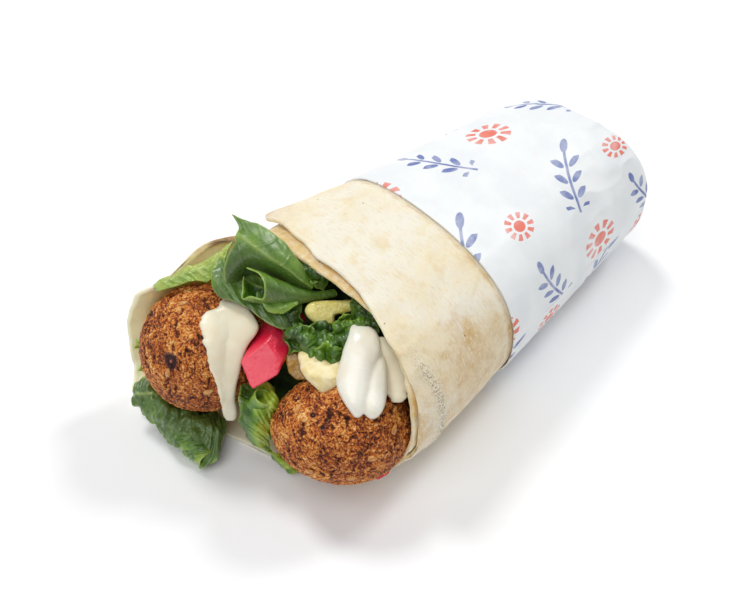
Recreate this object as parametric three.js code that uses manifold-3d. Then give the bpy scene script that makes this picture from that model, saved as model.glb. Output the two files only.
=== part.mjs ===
// Half a falafel wrap: a rolled flatbread, cut open at one end, in a paper sleeve.
// Millimetres. +Z is up, the roll lies along Y with its open end towards -Y.
// The origin is on the surface it lies on, under the roll's axis, at its mid length.
// Everything is drawn for falafels 40 across, then brought to the size of the real ones.
import * as THREE from 'three';
import { mergeVertices } from 'three/addons/utils/BufferGeometryUtils.js';
import Module from 'manifold-3d';

const wasm = await Module();
wasm.setup();

// ---- driving dimensions -------------------------------------------------
const FALAFEL_DRAWN = 40;
const FALAFEL_ACROSS = 36;

// Space kept between pieces that lie against each other.
const GAP = 0.34;
// A coarse round shape is grown by this much more, so that its flat faces keep the gap too.
const ROUND_MARGIN = 1.5;

// The roll tapers from its open end to its papered end. Its section is a slightly squared oval.
const FRONT = { y: -70, halfWidth: 48.3, halfHeight: 31.7 };
const REAR = { y: 80, halfWidth: 26.5, halfHeight: 25.3 };
const SQUARENESS = 2.3;
const SINK = 0.8;

// The flatbread is one sheet rolled one and a half times. Turned degrees count clockwise from its
// outer end, at the upper left, over the top and down the right side.
const BREAD_THICK = 1.6;
const OUTER_END = 150;
const SHEET_TURN = 540;
const MM_PER_DEGREE = 0.7;
const SHEET_ROWS = 9;
const SHEET_COLUMNS = 60;
const SHEET_COLUMNS_COARSE = 54;
const FRONT_CROWDING = 1.6;
const LAYER_STEP = BREAD_THICK + GAP;
const STEP_FROM = 285;
const STEP_TO = 352;
// Where the sheet's front edge lies: [turned degrees, y].
const RIM = [
  [0, -36], [30, -38], [60, -42], [90, -43], [105, -42.5], [121, -45], [141, -48.5], [160, -51],
  [180, -54], [200, -61], [225, -72], [245, -79], [265, -84], [290, -89.5], [320, -87], [346, -81],
  [359, -72], [368, -56], [377, -44], [400, -43], [430, -46.5], [460, -47], [500, -52], [540, -55],
];
// The left wall opens outwards a little at the top of the mouth.
const FLARE = 2.2;
const FLARE_MIDDLE = 356;
const FLARE_SPREAD = 16;
const FLARE_LENGTH = 9;
const LIP_DEPTH = 1.8;
const LIP_WIDTH = 5;
const LIP_MIDDLE = 25;
const LIP_SPREAD = 50;

// The paper sleeve, folded shut behind.
const PAPER_FRONT = -6.5;
const PAPER_THICK = 0.5;
const PAPER_GAP = 0.35;
const PAPER_LIFT = PAPER_THICK + PAPER_GAP;
const PAPER_END = 70;
const PAPER_END_SLANT = 7;
const PAPER_END_ROUND = 7;
const PAPER_CAP_INSET = 13;
const PAPER_CAP_SET_BACK = 1.5;
const PAPER_POLE_HEIGHT = 25;
const PAPER_SIDES = 42;
const PAPER_STEPS = 4;
const BREAD_SHORT = 11;
const LIFT_FROM = -18;
const LIFT_TO = -9;

// The toppings are laid out in the slanting plane of the open end: across it to the right, up its
// slope, and out of it.
const MOUTH_CENTRE = [0, -70, 30];
const MOUTH_TURN = 46.1;
const MOUTH_LEAN = 51.2;

const LEAF_THICK = 0.9;
const LEAF_REST = 0.4;

// ---- small helpers -------------------------------------------------------
const radians = THREE.MathUtils.degToRad;
const mix = THREE.MathUtils.lerp;
const smooth = (x, from, to) => THREE.MathUtils.smoothstep(x, from, to);
const signedPower = (x, power) => Math.sign(x) * Math.abs(x) ** power;

function vector(list) {
  return new THREE.Vector3(...list);
}

function mouthBasis() {
  const turn = radians(MOUTH_TURN);
  const lean = radians(MOUTH_LEAN);
  const across = new THREE.Vector3(Math.cos(turn), Math.sin(turn), 0);
  const level = new THREE.Vector3(Math.sin(turn), -Math.cos(turn), 0);
  const out = level.multiplyScalar(Math.cos(lean)).setZ(Math.sin(lean));
  const up = out.clone().cross(across);
  return { across, up, out };
}

const MOUTH = mouthBasis();

function mouthVector([across, up, out]) {
  return new THREE.Vector3()
    .addScaledVector(MOUTH.across, across)
    .addScaledVector(MOUTH.up, up)
    .addScaledVector(MOUTH.out, out);
}

function mouthPoint(place) {
  return mouthVector(place).add(vector(MOUTH_CENTRE));
}

// Smooth value between stations [at, value], at rising.
function along(stations, at) {
  let k = 0;
  while (k < stations.length - 2 && at > stations[k + 1][0]) k += 1;
  const before = stations[Math.max(k - 1, 0)];
  const from = stations[k];
  const to = stations[k + 1];
  const after = stations[Math.min(k + 2, stations.length - 1)];
  const t = THREE.MathUtils.clamp((at - from[0]) / (to[0] - from[0]), 0, 1);
  const span = to[0] - from[0];
  const slopeFrom = ((to[1] - before[1]) / (to[0] - before[0])) * span;
  const slopeTo = ((after[1] - from[1]) / (after[0] - from[0])) * span;
  const t2 = t * t;
  const t3 = t2 * t;
  return (2 * t3 - 3 * t2 + 1) * from[1] + (t3 - 2 * t2 + t) * slopeFrom
    + (3 * t2 - 2 * t3) * to[1] + (t3 - t2) * slopeTo;
}

// ---- closed surfaces -----------------------------------------------------
function geometryOf(points, faces) {
  const geometry = new THREE.BufferGeometry();
  const places = points.flatMap((p) => p.toArray());
  geometry.setAttribute('position', new THREE.Float32BufferAttribute(places, 3));
  geometry.setIndex(faces.flat());
  return geometry;
}

// A thin sheet: point(u, v, side) for side 1 and -1, both faces split alike, with a wall round the edge.
function sheet(columns, rows, point) {
  const points = [];
  const faces = [];
  const index = (i, j, side) => (side > 0 ? 0 : 1) * (columns + 1) * (rows + 1) + j * (columns + 1) + i;
  for (const side of [1, -1]) {
    for (let j = 0; j <= rows; j += 1) {
      for (let i = 0; i <= columns; i += 1) points.push(point(i / columns, j / rows, side));
    }
  }
  for (let j = 0; j < rows; j += 1) {
    for (let i = 0; i < columns; i += 1) {
      for (const side of [1, -1]) {
        const [a, b] = [index(i, j, side), index(i + 1, j, side)];
        const [c, d] = [index(i + 1, j + 1, side), index(i, j + 1, side)];
        if (side > 0) faces.push([a, b, c], [a, c, d]);
        else faces.push([a, c, b], [a, d, c]);
      }
    }
  }
  const wall = (i0, j0, i1, j1) => {
    const [a, b, c, d] = [index(i0, j0, 1), index(i1, j1, 1), index(i1, j1, -1), index(i0, j0, -1)];
    faces.push([a, c, b], [a, d, c]);
  };
  for (let i = 0; i < columns; i += 1) {
    wall(i, 0, i + 1, 0);
    wall(i + 1, rows, i, rows);
  }
  for (let j = 0; j < rows; j += 1) {
    wall(columns, j, columns, j + 1);
    wall(0, j + 1, 0, j);
  }
  return geometryOf(points, faces);
}

// A skin through closed rings of points, drawn together to one point at each end.
function loft(start, rings, end) {
  const sides = rings[0].length;
  const points = [start, ...rings.flat(), end];
  const faces = [];
  const last = points.length - 1;
  const index = (ring, k) => 1 + ring * sides + (k % sides);
  for (let k = 0; k < sides; k += 1) {
    faces.push([0, index(0, k + 1), index(0, k)]);
    faces.push([last, index(rings.length - 1, k), index(rings.length - 1, k + 1)]);
  }
  for (let ring = 0; ring < rings.length - 1; ring += 1) {
    for (let k = 0; k < sides; k += 1) {
      const [a, b, c, d] = [index(ring, k), index(ring, k + 1), index(ring + 1, k + 1), index(ring + 1, k)];
      faces.push([a, b, c], [a, c, d]);
    }
  }
  return geometryOf(points, faces);
}

// ---- solids that can be joined and cut ----------------------------------
// A solid of a closed surface, turned right side out if need be.
function solidOf(geometry) {
  const bare = geometry.clone();
  for (const name of Object.keys(bare.attributes)) if (name !== 'position') bare.deleteAttribute(name);
  const merged = mergeVertices(bare, 1e-4);
  const triVerts = Uint32Array.from(merged.index.array);
  const mesh = { numProp: 3, vertProperties: Float32Array.from(merged.attributes.position.array), triVerts };
  const solid = new wasm.Manifold(new wasm.Mesh(mesh));
  if (solid.volume() > 0) return solid;
  for (let k = 0; k < triVerts.length; k += 3) {
    [triVerts[k], triVerts[k + 1]] = [triVerts[k + 1], triVerts[k]];
  }
  return new wasm.Manifold(new wasm.Mesh(mesh));
}

function largestPiece(solid) {
  return solid.decompose().reduce((best, piece) => (piece.volume() > best.volume() ? piece : best));
}

// The finished mesh of a solid, at its real size.
function finish(solid) {
  const size = FALAFEL_ACROSS / FALAFEL_DRAWN;
  const { vertProperties, triVerts } = solid.getMesh();
  const geometry = new THREE.BufferGeometry();
  geometry.setAttribute('position', new THREE.Float32BufferAttribute(vertProperties, 3));
  geometry.setIndex(Array.from(triVerts));
  geometry.scale(size, size, size);
  geometry.computeVertexNormals();
  return geometry;
}

// ---- the roll ------------------------------------------------------------
// A point on the roll at an angle round it (0 is +X, 90 the top), a given depth inside its outer face.
function rollPoint(degrees, y, depth) {
  const t = (y - FRONT.y) / (REAR.y - FRONT.y);
  const halfWidth = mix(FRONT.halfWidth, REAR.halfWidth, t);
  const halfHeight = mix(FRONT.halfHeight, REAR.halfHeight, t);
  const angle = radians(degrees);
  const x = (halfWidth - depth) * signedPower(Math.cos(angle), 2 / SQUARENESS);
  const z = halfHeight - SINK + (halfHeight - depth) * signedPower(Math.sin(angle), 2 / SQUARENESS);
  const floor = PAPER_LIFT * smooth(y, LIFT_FROM, LIFT_TO) + depth;
  return new THREE.Vector3(x, y, Math.max(z, floor));
}

function wrapped(degrees) {
  return ((degrees % 360) + 360) % 360;
}

// How far the roll's front edge curls in, at an angle round it.
function lip(degrees, y) {
  const rim = along(RIM, wrapped(OUTER_END - degrees));
  const away = wrapped(degrees - LIP_MIDDLE + 180) - 180;
  const amount = LIP_DEPTH * Math.exp(-((away / LIP_SPREAD) ** 2));
  return amount * Math.exp(-((Math.max(y - rim, 0) / LIP_WIDTH) ** 2));
}

function flare(turned, fromRim) {
  return FLARE * Math.exp(-(((turned - FLARE_MIDDLE) / FLARE_SPREAD) ** 2) - (fromRim / FLARE_LENGTH) ** 2);
}

function sheetDepth(turned) {
  return LAYER_STEP * smooth(turned, STEP_FROM, STEP_TO);
}

function paperEnd(degrees) {
  return PAPER_END + PAPER_END_SLANT * Math.cos(radians(degrees));
}

function flatbread(grow) {
  const columns = grow ? SHEET_COLUMNS_COARSE : SHEET_COLUMNS;
  return sheet(columns, SHEET_ROWS, (u, v, side) => {
    const turned = mix(-grow / MM_PER_DEGREE, SHEET_TURN + grow / MM_PER_DEGREE, u);
    const degrees = OUTER_END - turned;
    const rim = along(RIM, THREE.MathUtils.clamp(turned, 0, SHEET_TURN)) - grow;
    const end = paperEnd(degrees) - BREAD_SHORT + grow;
    const y = mix(rim, end, v ** FRONT_CROWDING);
    const face = side > 0 ? -grow : BREAD_THICK + grow;
    return rollPoint(degrees, y, sheetDepth(turned) + lip(degrees, y) - flare(turned, y - rim) + face);
  });
}

function paperRing(yAt, depth, inset = 0) {
  return Array.from({ length: PAPER_SIDES }, (_, k) => {
    const degrees = (-360 * k) / PAPER_SIDES;
    return rollPoint(degrees, yAt(degrees), depth + inset);
  });
}

// One face of the sleeve: rings from its front edge to the flat of its closed end.
function paperFace(depth, setBack) {
  const end = (degrees) => paperEnd(degrees) - setBack;
  const rings = [];
  for (let k = 0; k <= PAPER_STEPS; k += 1) {
    const yAt = (degrees) => mix(PAPER_FRONT, end(degrees) - PAPER_END_ROUND, k / PAPER_STEPS);
    rings.push(paperRing(yAt, depth));
  }
  for (const turn of [30, 60, 90].map(radians)) {
    const yAt = (degrees) => end(degrees) - PAPER_END_ROUND * (1 - Math.sin(turn));
    rings.push(paperRing(yAt, depth, PAPER_END_ROUND * (1 - Math.cos(turn))));
  }
  const capAt = (degrees) => mix(end(0), end(degrees), 0.75) - PAPER_CAP_SET_BACK;
  rings.push(paperRing(capAt, depth, PAPER_CAP_INSET));
  return rings;
}

function paperWrap() {
  const pole = (setBack) => new THREE.Vector3(0, PAPER_END - setBack - 1, PAPER_POLE_HEIGHT);
  const outer = paperFace(-PAPER_LIFT, 0).reverse();
  const inner = paperFace(-PAPER_GAP, PAPER_THICK);
  return loft(pole(0), [...outer, ...inner], pole(PAPER_THICK));
}

// ---- a quick wave noise for lumps ---------------------------------------
function lumps(p, size, seed) {
  const { x, y, z } = p.clone().multiplyScalar(1 / size);
  const waves = [x * 1.7 + y * 2.3 + seed, y * 2.1 - z * 1.9 + seed * 2, z * 2.4 + x * 1.3 + seed * 3];
  return waves.reduce((sum, wave) => sum + Math.sin(wave), 0) / waves.length;
}

// ---- falafel -------------------------------------------------------------
const BALL_RADIUS = FALAFEL_DRAWN / 2;
const BALL_LEFT = { centre: [-22, 10.5, -11.8], radii: [BALL_RADIUS, BALL_RADIUS, BALL_RADIUS] };
const BALL_RIGHT = { centre: [20.6, -12.8, 0.5], radii: [20.8, 17, 18.5] };

function falafel({ centre, radii }, seed, grow) {
  const geometry = new THREE.IcosahedronGeometry(1, grow ? 4 : 5);
  const place = geometry.attributes.position;
  const p = new THREE.Vector3();
  for (let k = 0; k < place.count; k += 1) {
    p.fromBufferAttribute(place, k).normalize();
    const swell = 1 + 0.02 * lumps(p, 0.6, seed) + 0.008 * lumps(p, 0.17, seed);
    const reach = grow * ROUND_MARGIN;
    const at = radii.map((radius, axis) => centre[axis] + (radius * swell + reach) * p.getComponent(axis));
    place.setXYZ(k, ...mouthPoint(at));
  }
  return geometry;
}

// ---- leaves --------------------------------------------------------------
// One half of a leaf's cross section: how far a point is across and up, and how far it has turned.
// The bend is even where tighten is 1, and gathers towards the edge where it is more.
function halfSection(part, width, bend, tighten) {
  const steps = 12;
  let across = 0;
  let up = 0;
  for (let k = 0; k < steps; k += 1) {
    const turn = bend * ((part * (k + 0.5)) / steps) ** tighten;
    across += ((width * part) / steps) * Math.cos(turn);
    up += ((width * part) / steps) * Math.sin(turn);
  }
  return { across, up, turn: bend * part ** tighten };
}

// A leaf grows along a spine. Its face looks one way at the start and another at the end. Each half
// (left and right of the spine) has its own width and bends by its own angle, towards the face if positive.
function leaf(spec, grow) {
  const spine = new THREE.CatmullRomCurve3(spec.spine.map(mouthPoint));
  const faceFrom = mouthVector(spec.face[0]).normalize();
  const faceTo = mouthVector(spec.face[1]).normalize();
  const thick = LEAF_THICK / 2 + grow;
  const [columns, rows] = spec.grid;
  return sheet(columns, rows, (u, v, side) => {
    const origin = spine.getPoint(u);
    const forward = spine.getTangent(u);
    const face = faceFrom.clone().lerp(faceTo, u);
    face.addScaledVector(forward, -face.dot(forward)).normalize();
    const right = forward.clone().cross(face);
    const w = 2 * v - 1;
    const half = w < 0 ? 0 : 1;
    const width = along(spec.width[half], u) + grow;
    const bend = radians(mix(spec.bend[half][0], spec.bend[half][1], u));
    const part = Math.abs(w);
    const section = halfSection(part, width, bend, spec.tighten ? spec.tighten[half] : 1);
    const slant = spec.slant ? spec.slant[half] * part * (1 - u) : 0;
    const sign = w < 0 ? -1 : 1;
    const wave = spec.ruffle * part ** 2 * Math.sin(2 * Math.PI * (spec.waves * u + 0.31 * half) + spec.phase);
    const normal = face.clone().multiplyScalar(Math.cos(section.turn))
      .addScaledVector(right, -sign * Math.sin(section.turn));
    const lengthen = 2 * grow * (2 * u - 1);
    const point = origin.addScaledVector(forward, lengthen - slant)
      .addScaledVector(right, sign * section.across)
      .addScaledVector(face, section.up)
      .addScaledVector(normal, wave + side * thick);
    const lowest = LEAF_REST - grow + (side > 0 ? 2 * thick : 0);
    return point.setZ(Math.max(point.z, lowest));
  });
}

const constant = (value) => [[0, value], [1, value]];

const LEAVES = {
  // the leaf rolled to a cone
  leaf_roll: {
    spine: [[-1.4, 28, 12], [6.2, 25, 9.5], [15.7, 22, 4]],
    face: [[0, 0, 1], [0, 0, 1]],
    width: [[[0, 11], [1, 5.4]], [[0, 11], [1, 5.4]]],
    bend: [[-152, -138], [-152, -138]], slant: [7, 7], ruffle: 0.2, waves: 2, phase: 1, grid: [6, 14],
  },
  // the big glossy fold that stands up out of the mouth behind it
  leaf_fold: {
    spine: [[-8.5, 42, 3], [2, 35.4, 4], [13.5, 27.4, 1]],
    face: [[0.1, -0.3, 1], [0.2, 0.2, 1]],
    width: [[[0, 8.5], [0.5, 6.5], [1, 1.2]], [[0, 21], [0.4, 12], [1, 1.2]]],
    bend: [[-60, -70], [170, 60]], tighten: [1, 3.2], slant: [8, 3],
    ruffle: 0.4, waves: 1.5, phase: 0, grid: [10, 14],
  },
  // flat lobes below them
  leaf_lobe: {
    spine: [[-17, 29, 0.5], [-8, 25.5, 2.5], [1, 24, 4], [8, 25, 3]],
    face: [[-0.3, -0.2, 1], [0.3, 0.1, 1]],
    width: [constant(4.5), [[0, 3], [0.3, 3.5], [0.6, 3], [0.8, 5], [1, 3]]],
    bend: [[30, 40], [-40, -40]], ruffle: 0.7, waves: 2.2, phase: 2, grid: [9, 5],
  },
  // a pale strip along the left wall
  leaf_strip: {
    spine: [[-36.6, 29.3, -3], [-24.6, 34.4, -3], [-13.2, 39.5, -1]],
    face: [[-0.1, 0.3, 1], [0.2, 0.2, 1]],
    width: [[[0, 1], [0.5, 2.4], [1, 4.5]], [[0, 1], [0.5, 2.4], [1, 5]]],
    bend: [[20, 30], [30, 20]], ruffle: 0.6, waves: 3, phase: 0.4, grid: [12, 6],
  },
  // the large leaf that hangs out below the left ball
  leaf_front: {
    spine: [[-45.5, -5, -24], [-36.6, -6.5, -20], [-27, -13, -15.5], [-20.3, -22.5, -12.5]],
    face: [[-0.2, -0.1, 1], [0.1, -0.2, 1]],
    width: [[[0, 1.5], [0.3, 8], [0.8, 7.5], [1, 6]], [[0, 1.5], [0.3, 8], [0.8, 8], [1, 6.5]]],
    bend: [[-30, -80], [-10, -120]], ruffle: 1, waves: 2.5, phase: 0.9, grid: [14, 8],
  },
  // the curled leaf between the two balls
  leaf_curl: {
    spine: [[-3, -1, 3], [-3.4, -10, -2], [-1, -24, -13]],
    face: [[-0.4, 0.3, 1], [-0.2, 0.1, 1]],
    width: [[[0, 4], [0.5, 5], [1, 2]], [[0, 4.5], [0.5, 5], [1, 2.5]]],
    bend: [[60, 30], [-120, -30]], ruffle: 0.6, waves: 2, phase: 0, grid: [10, 8],
  },
  // dark leaf inside the right rim
  leaf_side: {
    spine: [[25.5, 29.5, 9], [30, 24, 9], [32.5, 16, 8.5]],
    face: [[-0.4, -0.3, 1], [-0.6, -0.2, 1]],
    width: [constant(3.2), [[0, 1.2], [0.5, 2.6], [1, 1.6]]],
    bend: [[20, 20], [-20, -20]], ruffle: 0.4, waves: 1.5, phase: 0.5, grid: [7, 4],
  },
  // a crinkled piece under the top edge
  leaf_tuck: {
    spine: [[10, 36, 1], [13, 32, 1], [14.5, 27, 1]],
    face: [[-0.2, 0.2, 1], [-0.2, 0.1, 1]],
    width: [constant(3.5), constant(3.5)],
    bend: [[30, 20], [-40, -30]], ruffle: 0.6, waves: 2, phase: 0.2, grid: [5, 4],
  },
};

// ---- pieces --------------------------------------------------------------
// A lumpy egg.
function blob(centre, radii, bumps, seed, grow, detail = 3) {
  const geometry = new THREE.IcosahedronGeometry(1, grow ? 2 : detail);
  const place = geometry.attributes.position;
  const p = new THREE.Vector3();
  for (let k = 0; k < place.count; k += 1) {
    p.fromBufferAttribute(place, k).normalize();
    const swell = 1 + bumps * lumps(p, 0.45, seed);
    const reach = grow * ROUND_MARGIN;
    const at = radii.map((radius, axis) => centre[axis] + (radius * swell + reach) * p.getComponent(axis));
    place.setXYZ(k, ...mouthPoint(at));
  }
  return geometry;
}

// A clump of curly leaf: a few crinkled lumps joined.
const FRILL = [
  { centre: [8, 17.5, 4], radii: [5.5, 4, 4] },
  { centre: [14, 14, 6.5], radii: [6, 5, 4.5] },
  { centre: [20, 17.5, 6], radii: [5, 5.5, 4] },
  { centre: [19.5, 10, 11], radii: [3.6, 4.5, 3.4] },
];

function frill(clumps, grow) {
  return clumps.map(({ centre, radii }, k) => solidOf(blob(centre, radii, 0.2, 5 + k, grow, 2)))
    .reduce((sum, solid) => sum.add(solid));
}

const BEVEL = 0.5;

// A flat-faced piece: an outline in the mouth's plane, drawn back along a slanting direction.
function prism(outline, front, back, grow) {
  const middle = [0, 1].map((axis) => outline.reduce((sum, point) => sum + point[axis], 0) / outline.length);
  const widen = ([x, y]) => {
    const [dx, dy] = [x - middle[0], y - middle[1]];
    const scale = 1 + (grow * ROUND_MARGIN) / Math.hypot(dx, dy);
    return new THREE.Vector2(dx * scale, dy * scale);
  };
  const shape = new THREE.Shape(outline.map(widen));
  const length = Math.hypot(...back);
  const options = {
    depth: length - 2 * BEVEL + 2 * grow, steps: 1, bevelEnabled: true,
    bevelThickness: BEVEL, bevelSize: BEVEL, bevelOffset: -BEVEL, bevelSegments: 1,
  };
  const geometry = new THREE.ExtrudeGeometry(shape, options);
  const direction = mouthVector(back).normalize();
  const backwards = direction.clone().negate();
  geometry.translate(0, 0, BEVEL - length - grow);
  geometry.applyMatrix4(new THREE.Matrix4().makeBasis(MOUTH.across, MOUTH.up, backwards));
  const origin = mouthPoint([...middle, front]);
  return geometry.translate(origin.x, origin.y, origin.z);
}

// ---- sauce ---------------------------------------------------------------
const TONGUE_SIDES = 10;
const TONGUE_STEP = 0.02;
const TONGUE_END_REACH = [0.6, 0.9];

function centroid(points) {
  return points.reduce((sum, p) => sum.add(p), new THREE.Vector3()).divideScalar(points.length);
}

// A tongue of sauce: [across, up, out, half width, half thickness] stations down its middle.
function tongue(stations, grow) {
  const at = (column, u) => along(stations.map((row, k) => [k / (stations.length - 1), row[column]]), u);
  const steps = (stations.length - 1) * 2;
  const rings = [];
  const middle = (u) => mouthPoint([at(0, u), at(1, u), at(2, u)]);
  for (let k = 0; k <= steps; k += 1) {
    const u = k / steps;
    const ahead = middle(Math.min(u + TONGUE_STEP, 1));
    const forward = ahead.sub(middle(Math.max(u - TONGUE_STEP, 0))).normalize();
    const right = forward.clone().cross(MOUTH.out).normalize();
    const outward = right.clone().cross(forward);
    rings.push(Array.from({ length: TONGUE_SIDES }, (_, s) => {
      const angle = (2 * Math.PI * s) / TONGUE_SIDES;
      return middle(u).addScaledVector(right, (at(3, u) + grow) * Math.cos(angle))
        .addScaledVector(outward, (at(4, u) + grow) * Math.sin(angle));
    }));
  }
  const tip = (ring, inside, reach) => {
    const centre = centroid(ring);
    return centre.clone().add(centre.clone().sub(inside).setLength(reach));
  };
  const start = tip(rings[0], middle(0.08), TONGUE_END_REACH[0] * (at(3, 0) + grow));
  const end = tip(rings[steps], middle(0.92), TONGUE_END_REACH[1] * (at(3, 1) + grow));
  return loft(start, rings, end);
}

const SAUCE_LEFT = [[
  [-12, 24, 3.5, 4, 1.4], [-12.3, 20.5, 5.2, 7, 1.8], [-12, 16, 6.6, 8.4, 1.9],
  [-12.5, 10.5, 7.2, 6, 1.7], [-12.7, 5, 6.5, 4.3, 1.6], [-12.7, 0, 4, 3.1, 1.7],
  [-12.8, -5, -1.3, 2.3, 1.9], [-12.8, -9.3, -6.8, 1.7, 1.6],
]];
const SAUCE_RIGHT = [
  [[27, 16.5, 11.5, 3, 2], [26, 12, 13.5, 5, 3.2], [24.8, 6.5, 15, 5, 3.4], [23.8, 2, 16.5, 4.4, 2.9],
    [24, -2.5, 18, 3.6, 2.2], [25, -6.8, 19, 2, 1.5]],
  [[29.5, 12, 13, 4, 2.2], [29.6, 5, 14.6, 3.8, 2.2], [29.6, -1, 16.8, 2.8, 1.9], [29.8, -7.3, 17.8, 1.8, 1.4]],
  [[31, 9, 13, 3.4, 2], [34, 5.5, 13.5, 4, 2], [36.3, 0, 13.8, 3, 1.5]],
];

function sauce(tongues, grow) {
  return tongues.map((stations) => solidOf(tongue(stations, grow))).reduce((sum, solid) => sum.add(solid));
}

// ---- the salad that fills the roll ----------------------------------------
const FILL_REAR = 56;
const FILL_FRONT = -60;
const FILL_SLOPE = 0.72;
const FILL_SLOPE_FROM = 16;
const FILL_MIDDLE = 28;
const FILL_GAP = GAP + 0.15;
const FILL_SIDES = 36;
const SEAM_MARGIN = 12;
const FRONT_GUESS = -50;

function fillDepth(degrees) {
  const turned = wrapped(OUTER_END - degrees);
  const doubled = turned < SHEET_TURN - 360 + SEAM_MARGIN;
  return (doubled ? LAYER_STEP : sheetDepth(turned)) + BREAD_THICK + FILL_GAP;
}

// The filling's front is a rough slope, further back at the top.
function fillFront(x, z) {
  const wave = 2 * Math.sin(x * 0.31 + z * 0.2) + 1.5 * Math.sin(z * 0.5 - x * 0.17);
  return FILL_FRONT + FILL_SLOPE * Math.max(z - FILL_SLOPE_FROM, 0) + wave;
}

function fillRing(point) {
  return Array.from({ length: FILL_SIDES }, (_, k) => point((360 * k) / FILL_SIDES));
}

function fillSide(degrees, y, setBack = 0) {
  const curl = lip(degrees, y);
  return rollPoint(degrees, y + setBack * curl, fillDepth(degrees) + curl);
}

function fillSlope(scale) {
  return fillRing((degrees) => {
    const p = rollPoint(degrees, FRONT_GUESS, fillDepth(degrees));
    const x = p.x * scale;
    const z = mix(FILL_MIDDLE, p.z, scale);
    return new THREE.Vector3(x, fillFront(x, z), z);
  });
}

function saladFilling() {
  const edgeY = (degrees) => {
    const p = rollPoint(degrees, FRONT_GUESS, fillDepth(degrees));
    return fillFront(p.x, p.z);
  };
  const rearY = (degrees) => FILL_REAR + PAPER_END_SLANT * Math.cos(radians(degrees));
  const edge = fillRing((degrees) => fillSide(degrees, edgeY(degrees), 2));
  const body = [1, 0.7, 0.4, 0.12].map((v) => (
    fillRing((degrees) => fillSide(degrees, mix(edgeY(degrees), rearY(degrees), v)))
  ));
  const rear = new THREE.Vector3(0, FILL_REAR, FILL_MIDDLE);
  const front = new THREE.Vector3(0, fillFront(0, FILL_MIDDLE), FILL_MIDDLE);
  return loft(rear, [...body, edge, fillSlope(0.78), fillSlope(0.5), fillSlope(0.24)], front);
}

// ---- putting it together ---------------------------------------------------
const TURNIP_FACE = [[-8.3, 7.4], [-0.6, 13.2], [3.4, 6.8], [1.2, 2.5], [-5.2, -0.7]];
const TURNIP_BACK = [8, 14, -13];
const SLICE_FACE = [[2.6, 11.5], [5, 13.5], [10.5, 12.5], [11, 2.5], [5.6, 2.4]];
const SLICE_BACK = [3, 5, -6];
const SLIVER_FACE = [[28.5, -27.3], [34.5, -23.5], [35, -27], [31.5, -29]];
const SLIVER_BACK = [1.5, 3, -5];

const PIECES = [
  ['flatbread', 0xeadfc8, 0.85, flatbread],
  ['falafel_left', 0x8a4a1c, 0.9, (grow) => falafel(BALL_LEFT, 1, grow)],
  ['falafel_right', 0x84461b, 0.9, (grow) => falafel(BALL_RIGHT, 4, grow)],
  ['sauce_left', 0xf1e8d6, 0.35, (grow) => sauce(SAUCE_LEFT, grow)],
  ['sauce_right', 0xf6f2e6, 0.3, (grow) => sauce(SAUCE_RIGHT, grow)],
  ['turnip_stick', 0xd8345e, 0.4, (grow) => prism(TURNIP_FACE, 9, TURNIP_BACK, grow)],
  ['turnip_sliver', 0xd8345e, 0.4, (grow) => prism(SLIVER_FACE, -2, SLIVER_BACK, grow)],
  ['pickle_wedge', 0xb9b24a, 0.4, (grow) => blob([19, 22, 4], [9, 4.6, 4.5], 0.04, 2, grow)],
  ['pickle_slice', 0x8f8a33, 0.4, (grow) => prism(SLICE_FACE, 5.5, SLICE_BACK, grow)],
  ['hummus', 0xf0dfa4, 0.6, (grow) => blob([16, 5.2, 10], [8, 7, 6], 0.1, 3, grow)],
  ['leaf_frill', 0x3d7a35, 0.5, (grow) => frill(FRILL, grow)],
  ...Object.entries(LEAVES).map(([name, spec]) => [name, 0x3f8236, 0.45, (grow) => leaf(spec, grow)]),
  ['salad_filling', 0x2f5f2a, 0.6, saladFilling],
];

const asSolid = (made) => (made instanceof wasm.Manifold ? made : solidOf(made));

function named(name, mesh) {
  mesh.name = name;
  return mesh;
}

// Each piece gives way to those before it in the list, by the gap.
function wrap() {
  const group = new THREE.Group();
  let taken = null;
  for (const [name, colour, roughness, make] of PIECES) {
    let solid = asSolid(make(0));
    if (taken) solid = largestPiece(solid.subtract(taken));
    if (make !== saladFilling) {
      const grown = asSolid(make(GAP));
      taken = taken ? taken.add(grown) : grown;
    }
    const material = new THREE.MeshStandardMaterial({ color: colour, roughness, metalness: 0 });
    group.add(named(name, new THREE.Mesh(finish(solid), material)));
  }
  const paperMaterial = new THREE.MeshStandardMaterial({ color: 0xf4f5f6, roughness: 0.6 });
  group.add(named('paper_wrap', new THREE.Mesh(finish(solidOf(paperWrap())), paperMaterial)));
  return group;
}

export default wrap();
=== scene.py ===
"""Half a falafel wrap in its paper sleeve: the looks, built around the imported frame."""
import math
from functools import partialmethod

import bmesh
import bpy
import numpy as np
from mathutils import Matrix, Vector


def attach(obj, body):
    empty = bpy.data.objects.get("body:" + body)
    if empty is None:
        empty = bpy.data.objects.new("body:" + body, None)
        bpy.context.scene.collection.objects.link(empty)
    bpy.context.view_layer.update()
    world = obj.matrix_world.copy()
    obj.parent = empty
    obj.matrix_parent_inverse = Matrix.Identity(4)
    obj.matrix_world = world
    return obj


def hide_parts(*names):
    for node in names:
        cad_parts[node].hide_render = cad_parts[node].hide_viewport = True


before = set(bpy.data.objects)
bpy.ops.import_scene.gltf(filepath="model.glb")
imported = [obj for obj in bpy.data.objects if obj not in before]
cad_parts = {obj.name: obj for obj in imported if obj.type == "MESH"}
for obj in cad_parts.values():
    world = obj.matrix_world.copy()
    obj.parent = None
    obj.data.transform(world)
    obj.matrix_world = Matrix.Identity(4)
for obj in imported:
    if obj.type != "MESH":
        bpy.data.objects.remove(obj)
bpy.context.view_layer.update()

# ---- sizes, in millimetres of a wrap drawn for falafels 40 across ---------------
FALAFEL_DRAWN = 40
FALAFEL_ACROSS = 36
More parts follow.
